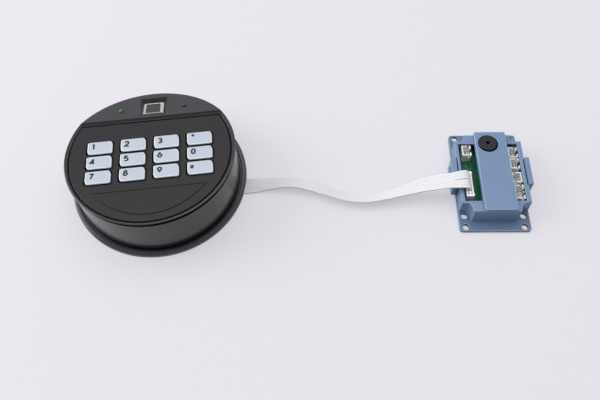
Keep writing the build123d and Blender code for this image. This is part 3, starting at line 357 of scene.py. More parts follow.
def make_materials(colours):
    """Every finish of the lock, by a short name."""
    # A plastic's numbers: roughness, width and depth of its grain in millimetres, then how far tone and gloss vary
    return {
        # Black ABS from a spark-eroded mould: satin, with a grain that breaks up its reflections
        "housing": moulded("Black ABS, satin moulded", colours.housing, 0.36, 0.5, 0.012),
        # Black ABS of the wall, from a smoother mould: the floor and the lamps show as soft bands round the drum
        "wall": moulded("Black ABS, semi-gloss moulded", "#161618", 0.21, 0.6, 0.003, 0.04, 0.02, shine=0.64),
        # The edges of the black parts: glossier, and a lighter colour that is a painted highlight, for thin bright
        # lines
        "black_edge": moulded("Black ABS, edge painted lighter", "#2c2c30", 0.2, 0.6, 0.003, shine=0.7),
        # Painted shade: a matt near-black for the faceplate's underside, the recess floor under the inlay and the
        # wall's ledge, that keeps the gaps dark
        "film": moulded("Matt black, painted gap shade", "#060607", 0.8, 0.5, 0.004, shine=0.2),
        # The faceplate's sloping far side: a greyer colour, a painted sheen, with a stronger specular than the rest
        "lunette": moulded("Black ABS, slope painted greyer", "#2d2c31", 0.36, 0.5, 0.008, shine=0.66),
        # The strip between inlay and slope, and the far wall of the reader's hollow: dull, and darker as painted
        # shade
        "ridge": moulded("Black ABS, dull, painted darker", "#0d0d0f", 0.5, 0.5, 0.01, shine=0.27),
        # Black ABS of the base: a greyer colour, a painted reflection on its crown
        "base": moulded("Black ABS, satin, painted greyer", "#36353b", 0.3, 0.5, 0.008, shine=0.66),
        # Black polycarbonate inlay: an even satin without reflections of objects
        "panel": moulded("Black polycarbonate, fine satin", colours.panel, 0.45, 0.35, 0.01, shine=0.41),
        # Pale blue ABS key caps: smooth; the soft highlight on the bevels is painted, by the paler colour below
        "keys": moulded("Pale blue ABS, smooth moulded", colours.keys, 0.4, 0.9, 0.004, 0.015),
        # The caps' bevels: smoother, and paler as a painted highlight
        "key_bevel": moulded("Pale blue ABS, bevel painted paler", "#eff3f8", 0.25, 0.9, 0.003, 0.01),
        # The caps' skirts below the panel: near-black, painted shade that keeps the gaps round the keys dark
        "key_skirt": moulded("Matt black, painted skirt shade", "#0c0c0e", 0.6, 0.3, 0.006),
        # Pad-printing ink: thin, nearly black, slightly glossy
        "ink": moulded("Black pad-printing ink", colours.ink, 0.4, 0.3, 0.004),
        # Silicone rubber of the key mat: dull black
        "mat": moulded("Black silicone rubber, moulded", "#131315", 0.7, 0.8, 0.01),
        # Blue-grey ABS of the control box's cover: satin with a visible fine grain
        "box": moulded("Blue-grey ABS, satin moulded", colours.box, 0.32, 0.55, 0.01, 0.035),
        # The cover's edges: smoother, and paler as a painted highlight
        "box_edge": moulded("Blue-grey ABS, edge painted paler", "#8ba4c4", 0.24, 0.55, 0.004, 0.03, 0.02),
        # The same plastic on the base: duller, and darker as painted shade
        "box_base": moulded("Blue-grey ABS, matt, painted darker", darker(colours.box, 0.66), 0.45, 0.55, 0.014, 0.035),
        # The mount holes' walls: dull, and dark as painted shade
        "box_hole": moulded("Blue-grey ABS, painted hole shade", darker(colours.box, 0.2), 0.6, 0.5, 0.014),
        # White nylon of headers and plugs: pale and waxy
        "nylon": moulded("White nylon, moulded", colours.connectors, 0.4, 0.7, 0.006, 0.03),
        # The contacts in the plug's windows: a dark grey, painted shade, as they lie in shadow
        "contact": moulded("Contact, painted dark shade", "#2c2b29", 0.5, 0.4, 0.01),
        # Black phenolic can of the buzzer
        "buzzer": moulded("Black phenolic resin, moulded", "#111114", 0.42, 0.4, 0.01, shine=0.36),
        # Black epoxy of the chips
        "chip": moulded("Black epoxy, moulded", "#1d1d1f", 0.55, 0.25, 0.01),
        # White PVC of the ribbon's wires: soft sheen
        "ribbon": moulded("White PVC insulation, extruded", colours.ribbon, 0.38, 1.5, 0.01, 0.02),
        "board": make_board(tuple(colours.board)),
        # Solder mask over copper: paler and smoother than over bare glass fibre
        "trace": moulded("Green solder mask over copper", "#1f8a56", 0.35, 0.5, 0.004),
        "nickel": make_nickel(),
        # Screws: a bright, slightly blue grey
        "zinc": make_plain_metal("Zinc-plated steel, turned", "#b8b9bb", 0.34),
        # Pins: a pale grey without bright spots
        "tin": make_plain_metal("Tin-plated brass, drawn", "#b4b1aa", 0.46),
        "glass": make_reader_glass(),
        "green_lamp": make_lamp("Green epoxy, cast", "#007a26"),
        "red_lamp": make_lamp("Red epoxy, cast", "#5e0a14"),
    }


def make_board(base):
    """Glass-fibre board under green solder mask: the weave and copper under the mask change its tone."""
    material, tree, shader, place = new_material("Glass-fibre board, green solder mask", base, 0.5)
    weave = tree_node(
        tree,
        "ShaderNodeTexBrick",
        {
            "Vector": place,
            "Scale": 1 / (0.9 * MM),
            "Color1": darker(base, 0.9),
            "Color2": darker(base, 1.12),
            "Mortar": darker(base, 0.72),
            "Mortar Size": 0.04,
        },
        offset=0.5,
    )
    noise = tree_node(tree, "ShaderNodeTexNoise", {"Vector": place, "Scale": 1 / (1.2 * MM), "Detail": 2.0})
    bump = tree_node(tree, "ShaderNodeBump", {"Height": noise.outputs["Fac"], "Distance": 0.01 * MM})
    set_inputs(tree, shader, {"Base Color": weave.outputs["Color"], "Normal": bump.outputs["Normal"]})
    return material


def make_nickel():
    """Bright nickel plate on a die-cast frame, polished along its sides: fine scratches stretch the highlights."""
    material, tree, shader, place = new_material("Nickel-plated zinc, polished", paint("#e4e1da"), 0.3, 1.0)
    stretch = tree_node(tree, "ShaderNodeMapping", {"Vector": place, "Scale": (1.0, 14.0, 14.0)})
    scratches = tree_node(
        tree, "ShaderNodeTexNoise", {"Vector": stretch.outputs["Vector"], "Scale": 1 / (4 * MM), "Detail": 2.0}
    )
    gloss = tree_node(
        tree,
        "ShaderNodeMapRange",
        {"Value": scratches.outputs["Fac"], "From Min": 0.3, "From Max": 0.7, "To Min": 0.24, "To Max": 0.4},
    )
    bump = tree_node(tree, "ShaderNodeBump", {"Height": scratches.outputs["Fac"], "Distance": 0.004 * MM})
    finish_shader(tree, shader, gloss=gloss, bump=bump)
    return material


def make_plain_metal(name, code, roughness):
    """A plated metal, dulled unevenly by handling."""
    material, tree, shader, place = new_material(name, paint(code), roughness, 1.0)
    noise = tree_node(tree, "ShaderNodeTexNoise", {"Vector": place, "Scale": 1 / (1.5 * MM), "Detail": 3.0})
    gloss = tree_node(
        tree,
        "ShaderNodeMapRange",
        {
            "Value": noise.outputs["Fac"],
            "From Min": 0.3,
            "From Max": 0.7,
            "To Min": roughness - 0.08,
            "To Max": roughness + 0.1,
        },
    )
    finish_shader(tree, shader, gloss=gloss)
    return material


def make_reader_glass():
    """Coated sensor glass: dark grey, glossy, over a fine grid of sensing cells."""
    material, tree, shader, place = new_material(
        "Sensor glass, coated", paint("#212327"), 0.14, **{"Coat Weight": 0.5, "Coat Roughness": 0.06}
    )
    cells = tree_node(tree, "ShaderNodeTexVoronoi", {"Vector": place, "Scale": 1 / (0.4 * MM)})
    blend = tree_node(
        tree,
        "ShaderNodeMix",
        {"Factor": cells.outputs["Distance"], 6: paint("#1e2023"), 7: paint("#2b2d31")},
        data_type="RGBA",
    )
    finish_shader(tree, shader, blend)
    return material


def make_lamp(name, code):
    """Tinted epoxy of an indicator lamp: the colour varies a little at random, darker and lighter."""
    base = paint(code)
    material, tree, shader, place = new_material(name, base, 0.3, **{"Coat Weight": 0.25})
    noise = tree_node(tree, "ShaderNodeTexNoise", {"Vector": place, "Scale": 1 / (1.1 * MM), "Detail": 1.0})
    blend = tree_node(
        tree,
        "ShaderNodeMix",
        {"Factor": noise.outputs["Fac"], 6: darker(base, 0.6), 7: darker(base, 1.25)},
        data_type="RGBA",
    )
    finish_shader(tree, shader, blend)
    return material


MATERIALS = {}


def finish_piece(piece, materials, body, slot, *nodes):
    """Give a finished piece its materials and its body, and hide the solids that it stands for; its slot is not used.
    """
    for material in materials.split():
        piece.data.materials.append(MATERIALS[material])
    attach(piece, body)
    if nodes:
        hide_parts(*nodes)
    return piece


def new_piece(name, mesh_data):
    """An object at the origin that shows this mesh."""
    piece = bpy.data.objects.new(name, mesh_data)
    bpy.context.scene.collection.objects.link(piece)
    return piece


def curve_mesh(context, curve):
    """The mesh that a curve makes."""
    drawn = bpy.data.objects.new(curve.name, curve)
    context.scene.collection.objects.link(drawn)
    context.view_layer.update()
    data = bpy.data.meshes.new_from_object(drawn.evaluated_get(context.evaluated_depsgraph_get()))
    bpy.data.objects.remove(drawn)
    return data


def mesh_from(shape, name):
    """A mesh from a bmesh, smooth but for its sharp edges."""
    data = bpy.data.meshes.new(name)
    shape.to_mesh(data)
    shape.free()
    data.shade_smooth()
    data.set_sharp_from_angle(angle=SHARP_ANGLE)
    return data


def softened(name, node, edge, segments=2, mend=None, edge_material=0):
    """A copy of a solid, mended where it is to differ, with its edges rounded as the mould leaves them.

    The rounded edges take the piece's material of that number.
    """
    shape = bmesh.new()
    shape.from_mesh(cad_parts[node].data)
    bmesh.ops.remove_doubles(shape, verts=shape.verts, dist=NEXT_TO_NOTHING)
    bmesh.ops.dissolve_limit(
        shape, angle_limit=math.radians(0.6), verts=shape.verts, edges=shape.edges, use_dissolve_boundaries=False
    )
    if mend:
        mend(shape)
    sharp = [
        side
        for side in shape.edges
        if len(side.link_faces) == 2
        and side.is_convex
        and side.calc_face_angle() > LEAST_ANGLE
        and all(face.normal.z > DOWNWARD for face in side.link_faces)
    ]
    bmesh.ops.bevel(
        shape,
        geom=sharp,
        offset=edge,
        offset_type="OFFSET",
        segments=segments,
        profile=0.5,
        affect="EDGES",
        clamp_overlap=False,
        material=edge_material,
    )
    return shade_evenly(new_piece(name, mesh_from(shape, name)))


def shade_evenly(piece):
    """Let the large faces of a piece keep their shading beside its rounded edges."""
    piece.modifiers.new("Even shading", "WEIGHTED_NORMAL").keep_sharp = True
    return piece


def make_piece(name, node, edge, materials, slot, **options):
    """A softened copy of a solid that stands for it, with its finishes."""
    return finish_piece(softened(name, node, edge, **options), materials, "lock", slot, node)


def size_of(name):
    """One of the sizes that a user may change, in millimetres."""
    return getattr(bpy.context.scene.safe_lock_sizes, name) / MM


def shift_points(shape, frame_matrix, chosen, moved):
    """Move the points that are chosen by their place in a frame of their own."""
    back = frame_matrix.inverted()
    for point in shape.verts:
        place = (back @ point.co) / MM
        if chosen(place):
            point.co = frame_matrix @ (moved(place) * MM)


def pushed(across, along, up=0.0):
    """A move by a fixed distance, for shift_points."""
    return lambda place: place + Vector((across, along, up))


def middle_of(face, frame_matrix):
    """A face's middle in a frame of its own, in millimetres."""
    return (frame_matrix.inverted() @ face.calc_center_median()) / MM


def within(place, bounds):
    """Whether a point lies within these distances to either side, from the near side and to the far side."""
    reach, near, far = bounds
    return abs(place.x) < reach and near < place.y < far


def radius_of(place):
    """How far a point lies from its frame's axis."""
    return Vector((place.x, place.y)).length


def depth_of(place):
    """How far a point of the face's frame lies under the face and the slope beside it."""
    return -max(place.z, ((LUNETTE.inverted() @ FACE @ (place * MM)) / MM).z)


def extent(places):
    """The lowest and the highest corner of the box round these places."""
    return [Vector([pick(place[axis] for place in places) for axis in range(3)]) for pick in (min, max)]


def dress_node(node, material):
    """Give a solid that stays as it is a better material."""
    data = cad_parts[node].data
    data.materials.clear()
    data.materials.append(MATERIALS[material])


class SAFELOCK_OT_studio(bpy.types.Operator):
    """Make the camera, the table and the lamps"""

    bl_idname = "safelock.studio"
    bl_label = "Studio"

    camera_focal = 39.202
    camera_pitch = math.radians(60.225137)
    camera_yaw = math.radians(-2.907289)
    camera_roll = math.radians(-2.791073)
    camera_place = (99.8392 * MM, -219.2829 * MM, 356.0741 * MM)

    table_half = 3.0
    table_place = (0.1, 0.4, -0.05 * MM)
    # The table as the camera and reflections see it is lit evenly; as it lights the lock it is darker
    table_shade = 0.62
    table_glow = 0.55

    sky = (0.97, 0.97, 1.0, 1.0)
    sky_strengths = (0.34, 0.68)     # on the near and on the far side
    # Name, place, size and power
    lamps = (("Overhead lamp", (0.15, 0.3, 1.5), 1.7, 11.5), ("Left lamp", (-1.2, 0.2, 0.7), 0.9, 12.5))
    lamp_aim = Vector((0.1, 0.0, 0.0))

    def execute(self, context):
        scene = context.scene
        scene.view_settings.view_transform = "Standard"
        pitch, yaw, roll = self.camera_pitch, self.camera_yaw, self.camera_roll
        forward = Vector((math.sin(yaw) * math.cos(pitch), math.cos(yaw) * math.cos(pitch), -math.sin(pitch)))
        level = Vector((math.cos(yaw), -math.sin(yaw), 0))
        upright = level.cross(forward)
        right = math.cos(roll) * level + math.sin(roll) * upright
        up = -math.sin(roll) * level + math.cos(roll) * upright
        turn = Matrix((right, up, -forward)).transposed().to_4x4()
        lens = bpy.data.cameras.new("Camera")
        lens.lens = self.camera_focal
        lens.sensor_width = 36.0
        lens.clip_start = 0.01
        camera = bpy.data.objects.new("Camera", lens)
        camera.matrix_world = Matrix.Translation(self.camera_place) @ turn
        scene.collection.objects.link(camera)
        scene.camera = camera

        self.make_table(scene)
        self.light(scene)
        return {"FINISHED"}

    def make_table(self, scene):
        """The table, on which the lock lies."""
        shape = bmesh.new()
        bmesh.ops.create_grid(shape, x_segments=2, y_segments=2, size=self.table_half)
        bmesh.ops.translate(shape, verts=shape.verts, vec=self.table_place)
        table = new_piece("table", mesh_from(shape, "table"))
        pale = tuple(scene.safe_lock_colours.table)
        material, tree, shader, _ = new_material("Table, matt lacquer", pale, 0.8)
        rays = tree_node(tree, "ShaderNodeLightPath")
        seen = tree_node(
            tree,
            "ShaderNodeMath",
            {0: rays.outputs["Is Camera Ray"], 1: rays.outputs["Is Glossy Ray"]},
            operation="MAXIMUM",
        )
        tone = tree_node(
            tree,
            "ShaderNodeMix",
            {"Factor": seen.outputs[0], 6: darker(pale, self.table_shade), 7: pale},
            data_type="RGBA",
        )
        finish_shader(tree, shader, tone)
        glow = tree_node(tree, "ShaderNodeEmission", {"Color": pale, "Strength": 1.0})
        share = tree_node(tree, "ShaderNodeMath", {0: seen.outputs[0], 1: self.table_glow}, operation="MULTIPLY")
        blend = tree_node(
            tree, "ShaderNodeMixShader", {0: share.outputs[0], 1: shader.outputs[0], 2: glow.outputs[0]}
        )
        tree.links.new(blend.outputs[0], tree.nodes["Material Output"].inputs["Surface"])
        table.data.materials.append(material)

    def light(self, scene):
        """The room's light and two lamps."""
        world = bpy.data.worlds.new("Studio")
        world.use_nodes = True
        scene.world = world
        tree = world.node_tree
        # A paper sweep that rises behind the table: the far side of the room is brighter than the near side
        way = tree_node(tree, "ShaderNodeTexCoord").outputs["Generated"]
        parts = tree_node(tree, "ShaderNodeSeparateXYZ", {"Vector": way})
        near, far = self.sky_strengths
        strength = tree_node(
            tree,
            "ShaderNodeMapRange",
            {"Value": parts.outputs["Y"], "From Min": -0.7, "From Max": 1.0, "To Min": near, "To Max": far},
        )
        set_inputs(tree, tree.nodes["Background"], {"Color": self.sky, "Strength": strength.outputs["Result"]})
        for name, place, size, power in self.lamps:
            light = bpy.data.lights.new(name, "AREA")
            light.shape = "SQUARE"
            light.size = size
            light.energy = power
            lamp = bpy.data.objects.new(name, light)
            lamp.location = place
            lamp.rotation_euler = (self.lamp_aim - Vector(place)).to_track_quat("-Z", "Y").to_euler()
            scene.collection.objects.link(lamp)


class SAFELOCK_OT_ribbon(bpy.types.Operator):
    """Make the flat ribbon of six wires"""

    bl_idname = "safelock.ribbon"
    bl_label = "Ribbon"

    def execute(self, context):
        path = self.middle_line(context)
        sizes = context.scene.safe_lock_sizes
        stations = self.lay_out(path, sizes.ribbon_twist)
        ribbon = new_piece("ribbon", self.wires(stations, sizes.wire_thickness))
        finish_piece(ribbon, "ribbon", "lock", "ribbon_white", "ribbon_cable")
        plug = make_piece("ribbon_end", "ribbon_plug", 0.06 * MM, "nylon contact", "connector_white")
        # The contacts are seen in the windows, inside the plug's walls and a little below its top; they take the dark
        # contact colour, painted shade
        low, high = extent([vertex.co for vertex in plug.data.vertices])
        for face in plug.data.polygons:
            inside = all(low[axis] + 0.3 * MM < face.center[axis] < high[axis] - 0.3 * MM for axis in (0, 1))
            if inside and high[2] - 1.2 * MM < face.center.z < high[2] - 0.12 * MM:
                face.material_index = 1
        return {"FINISHED"}

    def middle_line(self, context):
        """The points of the ribbon's middle line, along the solid's own curve."""
        curve = bpy.data.curves.new("ribbon_line", "CURVE")
        curve.dimensions = "3D"
        curve.resolution_u = 12
        spline = curve.splines.new("NURBS")
        spline.points.add(len(RIBBON_ROUTE) - 1)
        for point, place in zip(spline.points, RIBBON_ROUTE):
            point.co = (*[value * MM for value in place], 1.0)
        spline.order_u = 3
        spline.use_endpoint_u = True
        return [vertex.co.copy() for vertex in curve_mesh(context, curve).vertices]

    def lay_out(self, path, most_twist):
        """For each point of the path: its place, the ways across and out, the wires' pitch and the split's width."""
        run = [0.0]
        for before, after in zip(path, path[1:]):
            run.append(run[-1] + (after - before).length)
        total = run[-1]
        across = (KEYPAD.to_3x3() @ Vector((0, 1, 0))).normalized()
        wire_pitch = RIBBON_WIDTH / WIRE_COUNT
        stations = []
        for index, place in enumerate(path):
            along = (path[min(index + 1, len(path) - 1)] - path[max(index - 1, 0)]).normalized()
            turned = across.lerp(Vector((0, 1, 0)), run[index] / total)
            turned = (turned - along * turned.dot(along)).normalized()
            turned = Matrix.Rotation(-most_twist * twist_share(place.x), 3, along) @ turned
            to_plug = (total - run[index]) / MM
            pitch = wire_pitch + (PLUG_PITCH - wire_pitch) * smooth_share(*FAN_RUN, to_plug)
            split = SPLIT_WIDTH * smooth_share(*SPLIT_RUN, to_plug) * (1 - smooth_share(*SPLIT_END, to_plug))
            place = place + Vector(PLUG_SHIFT) * smooth_share(*PLUG_SHIFT_RUN, to_plug)
            stations.append((place, turned, along.cross(turned), pitch, split))
        return stations

    def wires(self, stations, thickness):
        """The mesh of the wires, side by side, each with a squarish round section."""
        shape = bmesh.new()
        for wire in range(WIRE_COUNT):
            rings = []
            for place, turned, out, pitch, split in stations:
                shift = (wire - (WIRE_COUNT - 1) / 2) * pitch
                shift += split / 2 if wire >= WIRE_COUNT / 2 else -split / 2
                middle = place + turned * shift
                ring = []
                for side in range(WIRE_SIDES):
                    angle = 2 * math.pi * (side + 0.5) / WIRE_SIDES
                    breadth = squarish(math.cos(angle)) * WIRE_HALF * pitch
                    rise = squarish(math.sin(angle)) * thickness / 2
                    ring.append(shape.verts.new(middle + turned * breadth + out * rise))
                rings.append(ring)
            for first, second in zip(rings, rings[1:]):
                for side in range(WIRE_SIDES):
                    after = (side + 1) % WIRE_SIDES
                    shape.faces.new((first[side], first[after], second[after], second[side]))
            shape.faces.new(list(reversed(rings[0])))
            shape.faces.new(rings[-1])
        bmesh.ops.recalc_face_normals(shape, faces=shape.faces)
        return mesh_from(shape, "ribbon")


def squarish(share):
    """A sine or cosine, brought nearer to 1 or -1, so that a round turns into a rounded square."""
    return math.copysign(abs(share) ** 0.3, share)


def smooth_share(start, end, value):
    """How far a value has gone from start to end, from 0 to 1, eased at both."""
    share = min(1.0, max(0.0, (value - start) / (end - start)))
    return share * share * (3 - 2 * share)


def twist_share(across):
    """How much of its twist the ribbon has at this distance from the keypad."""
    place = across / MM
    for (start, before), (end, after) in zip(RIBBON_TWIST, RIBBON_TWIST[1:]):
        if start <= place <= end:
            return before + (after - before) * smooth_share(start, end, place)
    return 0.0


class SAFELOCK_OT_keypad(bpy.types.Operator):
    """Make the keypad's base, housing, faceplate and panel"""

    bl_idname = "safelock.keypad"
    bl_label = "Keypad housing"

    def execute(self, context):
        sizes = context.scene.safe_lock_sizes
        edge = sizes.housing_edge
        finishes = "housing black_edge film lunette ridge"
        # Each piece's rounded edges take its second finish: on base, wall and faceplate the lighter black_edge, a
        # painted highlight
        for name, node, edge, materials, slot, mend in (
            ("base", "base_ring", edge, "base black_edge", "black_plastic", None),
            ("wall", "housing", edge / 2, "wall black_edge film", "black_plastic", self.lower_ledge),
            ("front", "faceplate", edge, finishes, "black_plastic", self.shape_front),
            ("inlay", "keypad_panel", sizes.panel_edge, "panel", "panel_plastic", self.widen_gaps),
        ):
            make_piece(name, node, edge, materials, slot, mend=mend, edge_material=int(" " in materials))
        return {"FINISHED"}

    def shape_front(self, shape):
        """Mend the faceplate: its rim, its recess, the reader's hollow and the lamps' holes, each with its finish."""
        self.thin_rim(shape)
        half_across, half_along = READER_HALF
        left, right, far = HOLLOW_MOVES
        shift_points(
            shape,
            READER,
            lambda place: abs(place.z + HOLLOW_DEPTH) < NEAR / 2
            and abs(abs(place.x) - half_across) < NEAR
            and abs(place.y) < half_along + NEAR,
            reader_spread,
        )
        shift_points(
            shape,
            READER,
            lambda place: abs(place.z) < NEAR / 2 and within(place, HOLLOW_OUTLINE),
            lambda place: place + Vector((right if place.x > 0 else left, far if place.y > 0 else 0.0, 0)),
        )
        shift_points(shape, LUNETTE, near_lamp, pushed(*LAMP_SHIFT))
        slope_up = LUNETTE.to_3x3() @ Vector((0, 0, 1))
        # The slope takes the greyer lunette finish, a painted sheen; the far wall of the hollow takes the darker
        # ridge finish, painted shade
        for face in shape.faces:
            place = middle_of(face, READER)
            if abs(place.z) < NEAR and face.normal.dot(slope_up) > LEVEL:
                face.material_index = 3
            elif -HOLLOW_DEPTH < place.z < -NEAR and within(place, HOLLOW_WALLS):
                face.material_index = 4 if place.y > half_along + NEAR else 0
        self.part_ridge(shape)

    def part_ridge(self, shape):
        """Part the strip between the inlay and the slope from the rim, and give it its duller finish, darker as
        painted shade.
        """
        up = FACE.to_3x3() @ Vector((0, 0, 1))

        def on_face(face):
            return abs(middle_of(face, FACE).z) < NEAR and face.normal.dot(up) > LEVEL

        flat = [face for face in shape.faces if on_face(face)]
        sides = {side for face in flat for side in face.edges}
        points = {point for face in flat for point in face.verts}
        bmesh.ops.bisect_plane(
            shape,
            geom=[*flat, *sides, *points],
            dist=0.01 * MM,
            plane_co=FACE @ Vector((0, RECESS_CHORD * MM, 0)),
            plane_no=FACE.to_3x3() @ Vector((0, 1, 0)),
        )
        # The strip takes the darker ridge finish: painted shade
        for face in shape.faces:
            if on_face(face) and middle_of(face, FACE).y > RECESS_CHORD:
                face.material_index = 4

    def thin_rim(self, shape):
        """Cut the faceplate's rim away from below to a thin edge, and move its recess as the inlay is moved."""
        undercut = size_of("rim_undercut")
        downs = [(plane.to_3x3() @ Vector((0, 0, -1))).normalized() for plane in (FACE, LUNETTE)]
        below = [face for face in shape.faces if max(face.normal.dot(down) for down in downs) > LEVEL]
        # The faceplate's underside takes the near-black finish of the gaps: painted shade under the rim
        for face in below:
            face.material_index = 2
        bmesh.ops.inset_region(
            shape, faces=below, use_boundary=True, use_even_offset=True, thickness=RIM_INSET * MM, depth=0.0
        )
        shift_points(
            shape,
            FACE,
            lambda place: abs(depth_of(place) - PLATE_THICKNESS) < NEAR and radius_of(place) > RIM_INNER,
            pushed(0, 0, undercut),
        )
        self.merge_ridge_ends(shape)
        shift_points(
            shape,
            FACE,
            lambda place: place.z > NEAR - PLATE_THICKNESS
            and RECESS_GAP[0] < radius_of(place) - PANEL_RADIUS < RECESS_GAP[1],
            panel_shifted,
        )
        # The recess floor under the inlay takes the same painted shade
        for face in shape.faces:
            if NEAR - PLATE_THICKNESS < middle_of(face, FACE).z < -2 * NEAR and face.normal.dot(downs[0]) < -0.99:
                face.material_index = 2

    def merge_ridge_ends(self, shape):
        """Merge the crowded points where the ridge before the slope meets the rim, so that the rim rounds evenly."""
        back = FACE.inverted()
        crowded = []
        for point in shape.verts:
            place = (back @ point.co) / MM
            beside = abs(place.y - LUNETTE_START / MM) < RIDGE_REACH and place.z > -RIDGE_DEPTH
            if beside and radius_of(place) > RIM_INNER:
                crowded.append(point)
        bmesh.ops.remove_doubles(shape, verts=crowded, dist=CROWDED * MM)

    def lower_ledge(self, shape):
        """Lower the ledge under the faceplate, so that from above the gap shows as a black line."""
        drop = size_of("neck_drop")
        inner, outer = NECK_RADII
        shift_points(
            shape,
            FACE,
            lambda place: abs(depth_of(place) - NECK_LEDGE) < 2 * NEAR and radius_of(place) > inner,
            pushed(0, 0, -drop),
        )
        # The ledge and the neck above it take the same near-black painted shade, so that the gap reads black
        for face in shape.faces:
            place = middle_of(face, FACE)
            if inner < radius_of(place) < outer and depth_of(place) < NECK_LEDGE + drop + NEAR:
                face.material_index = 2

    def widen_gaps(self, shape):
        """Open the gap round each key and round the inlay, and deepen the inlay's engraved line."""
        gap = size_of("key_gap")
        half_across, half_along = KEY_HALF
        for across, along in key_places():
            shift_points(
                shape,
                FACE @ Matrix.Translation((across, along, 0)),
                lambda place: abs(place.x) < half_across + WINDOW_REACH and abs(place.y) < half_along + WINDOW_REACH,
                lambda place: Vector(
                    (
                        place.x * (1 + WINDOW_SHARE * gap / half_across) + WINDOW_SHIFT[0],
                        place.y * (1 + gap / half_along) + WINDOW_SHIFT[1],
                        place.z,
                    )
                ),
            )
        shift_points(
            shape,
            FACE,
            lambda place: radius_of(place) > PANEL_RADIUS - PANEL_EDGE,
            lambda place: panel_shifted(Vector((place.x * PANEL_SHARE, place.y * PANEL_SHARE, place.z))),
        )
        # The engraved line's arc follows the near edge, and its ends come in a little
        shift_points(
            shape,
            FACE,
            lambda place: place.y < ARC_FAR_END and ARC_BAND[0] < PANEL_RADIUS - radius_of(place) < ARC_BAND[1],
            lambda place: place
            + Vector((-ARC_NARROWER * place.x, -PANEL_SHIFT * smooth_share(*ARC_SHIFT_RUN, abs(place.x)), 0)),
        )
        shift_points(
            shape,
            FACE,
            lambda place: place.y < LINE_FAR_END and abs(place.z + LINE_DEPTH) < 0.03,
            pushed(0, 0, -LINE_DEEPER),
        )


def panel_shifted(place):
    """A point of the inlay's edge, moved towards the near rim if it lies on the near side."""
    return place + Vector((0, -PANEL_SHIFT * smooth_share(*PANEL_SHIFT_RUN, place.y), 0))


def rounded_outline(half_across, half_along, rounds):
    """A rectangle's outline with its own round at each corner, turning from the far right one."""
    points = []
    steps = 9
    for corner, (round_across, round_along) in enumerate(rounds):
        side_across = 1 if corner in (0, 3) else -1
        side_along = 1 if corner in (0, 1) else -1
        for step in range(steps + 1):
            turn = math.radians(90 * (corner + step / steps))
            points.append(
                (
                    side_across * (half_across - round_across) + round_across * math.cos(turn),
                    side_along * (half_along - round_along) + round_along * math.sin(turn),
                )
            )
    return points


def reader_spread(place):
    """A point of the reader, moved out to the frame's wider outline."""
    share = READER_SHARES[abs(place.x) > READER_FRAME]
    move = next(move for end, move in READER_MOVES if place.y <= end)
    return Vector((place.x * share - 0.1, place.y + move, place.z))


def near_lamp(place):
    """Whether a point of the slope belongs to a lamp or to its hole."""
    return math.dist((abs(place.x), place.y), LAMP_PLACE) < LAMP_REACH


def arc(across, along, half_width, half_height, start, end):
    """A part of an ellipse as points, turning from one angle in degrees to another."""
    steps = max(4, round(abs(end - start) / 18))
    angles = [math.radians(start + (end - start) * step / steps) for step in range(steps + 1)]
    if abs(end - start) == 360:
        angles.pop()
    return [(across + half_width * math.cos(turn), along + half_height * math.sin(turn)) for turn in angles]


def sign_strokes(name):
    """The strokes of a digit or sign in round, even lines, on a field from -0.5 to 0.5."""
    return {
        "0": [arc(0, 0, 0.29, 0.5, 0, 360)],
        "1": [[(-0.16, 0.34), (0.04, 0.5), (0.04, -0.5)]],
        "2": [[*arc(0, 0.2, 0.3, 0.3, 170, -35), (-0.33, -0.5), (0.33, -0.5)]],
        "3": [[*arc(0, 0.25, 0.26, 0.25, 150, -80), *arc(0, -0.23, 0.31, 0.27, 80, -150)]],
        "4": [[(0.14, -0.5), (0.14, 0.5), (-0.38, -0.22), (0.36, -0.22)]],
        "5": [[(0.27, 0.5), (-0.18, 0.5), (-0.25, 0.05), *arc(0, -0.18, 0.31, 0.32, 125, -140)]],
        "6": [arc(0, -0.19, 0.31, 0.31, 0, 360), [(-0.29, -0.1), (0.1, 0.52)]],
        "7": [[(-0.32, 0.5), (0.32, 0.5), (-0.1, -0.52)]],
        "8": [arc(0, 0.25, 0.22, 0.24, 0, 360), arc(0, -0.24, 0.3, 0.26, 0, 360)],
        "9": [arc(0, 0.19, 0.31, 0.31, 0, 360), [(0.29, 0.1), (-0.1, -0.52)]],
        "star": [[(0, -0.42), (0, 0.42)], [(-0.37, -0.21), (0.37, 0.21)], [(-0.37, 0.21), (0.37, -0.21)]],
        "hash": [
            [(-0.24, -0.5), (-0.04, 0.5)],
            [(0.06, -0.5), (0.26, 0.5)],
            [(-0.4, 0.17), (0.42, 0.17)],
            [(-0.46, -0.17), (0.36, -0.17)],
        ],
    }[name]


def parted(stroke):
    """A stroke in parts that cross at its sharp corners, each drawn on past them by a part of its width."""
    points = [Vector(point) for point in stroke]
    parts = [[points[0]]]
    for before, here, after in zip(points, points[1:], points[2:]):
        arriving, leaving = (here - before).normalized(), (after - here).normalized()
        if arriving.angle(leaving) > SIGN_CORNER:
            parts[-1].append(here + arriving * SIGN_STROKE * SIGN_PAST)
            parts.append([here - leaving * SIGN_STROKE * SIGN_PAST])
        else:
            parts[-1].append(here)
    parts[-1].append(points[-1])
    return parts


def key_places():
    """The keys' middles on the face, row by row as in KEY_NAMES."""
    for row in range(len(KEY_NAMES)):
        for column in range(len(KEY_NAMES[0])):
            yield (
                (column - (len(KEY_NAMES[0]) - 1) / 2) * KEY_PITCH[0],
                KEY_FIELD_MIDDLE + (row - (len(KEY_NAMES) - 1) / 2) * KEY_PITCH[1],
            )


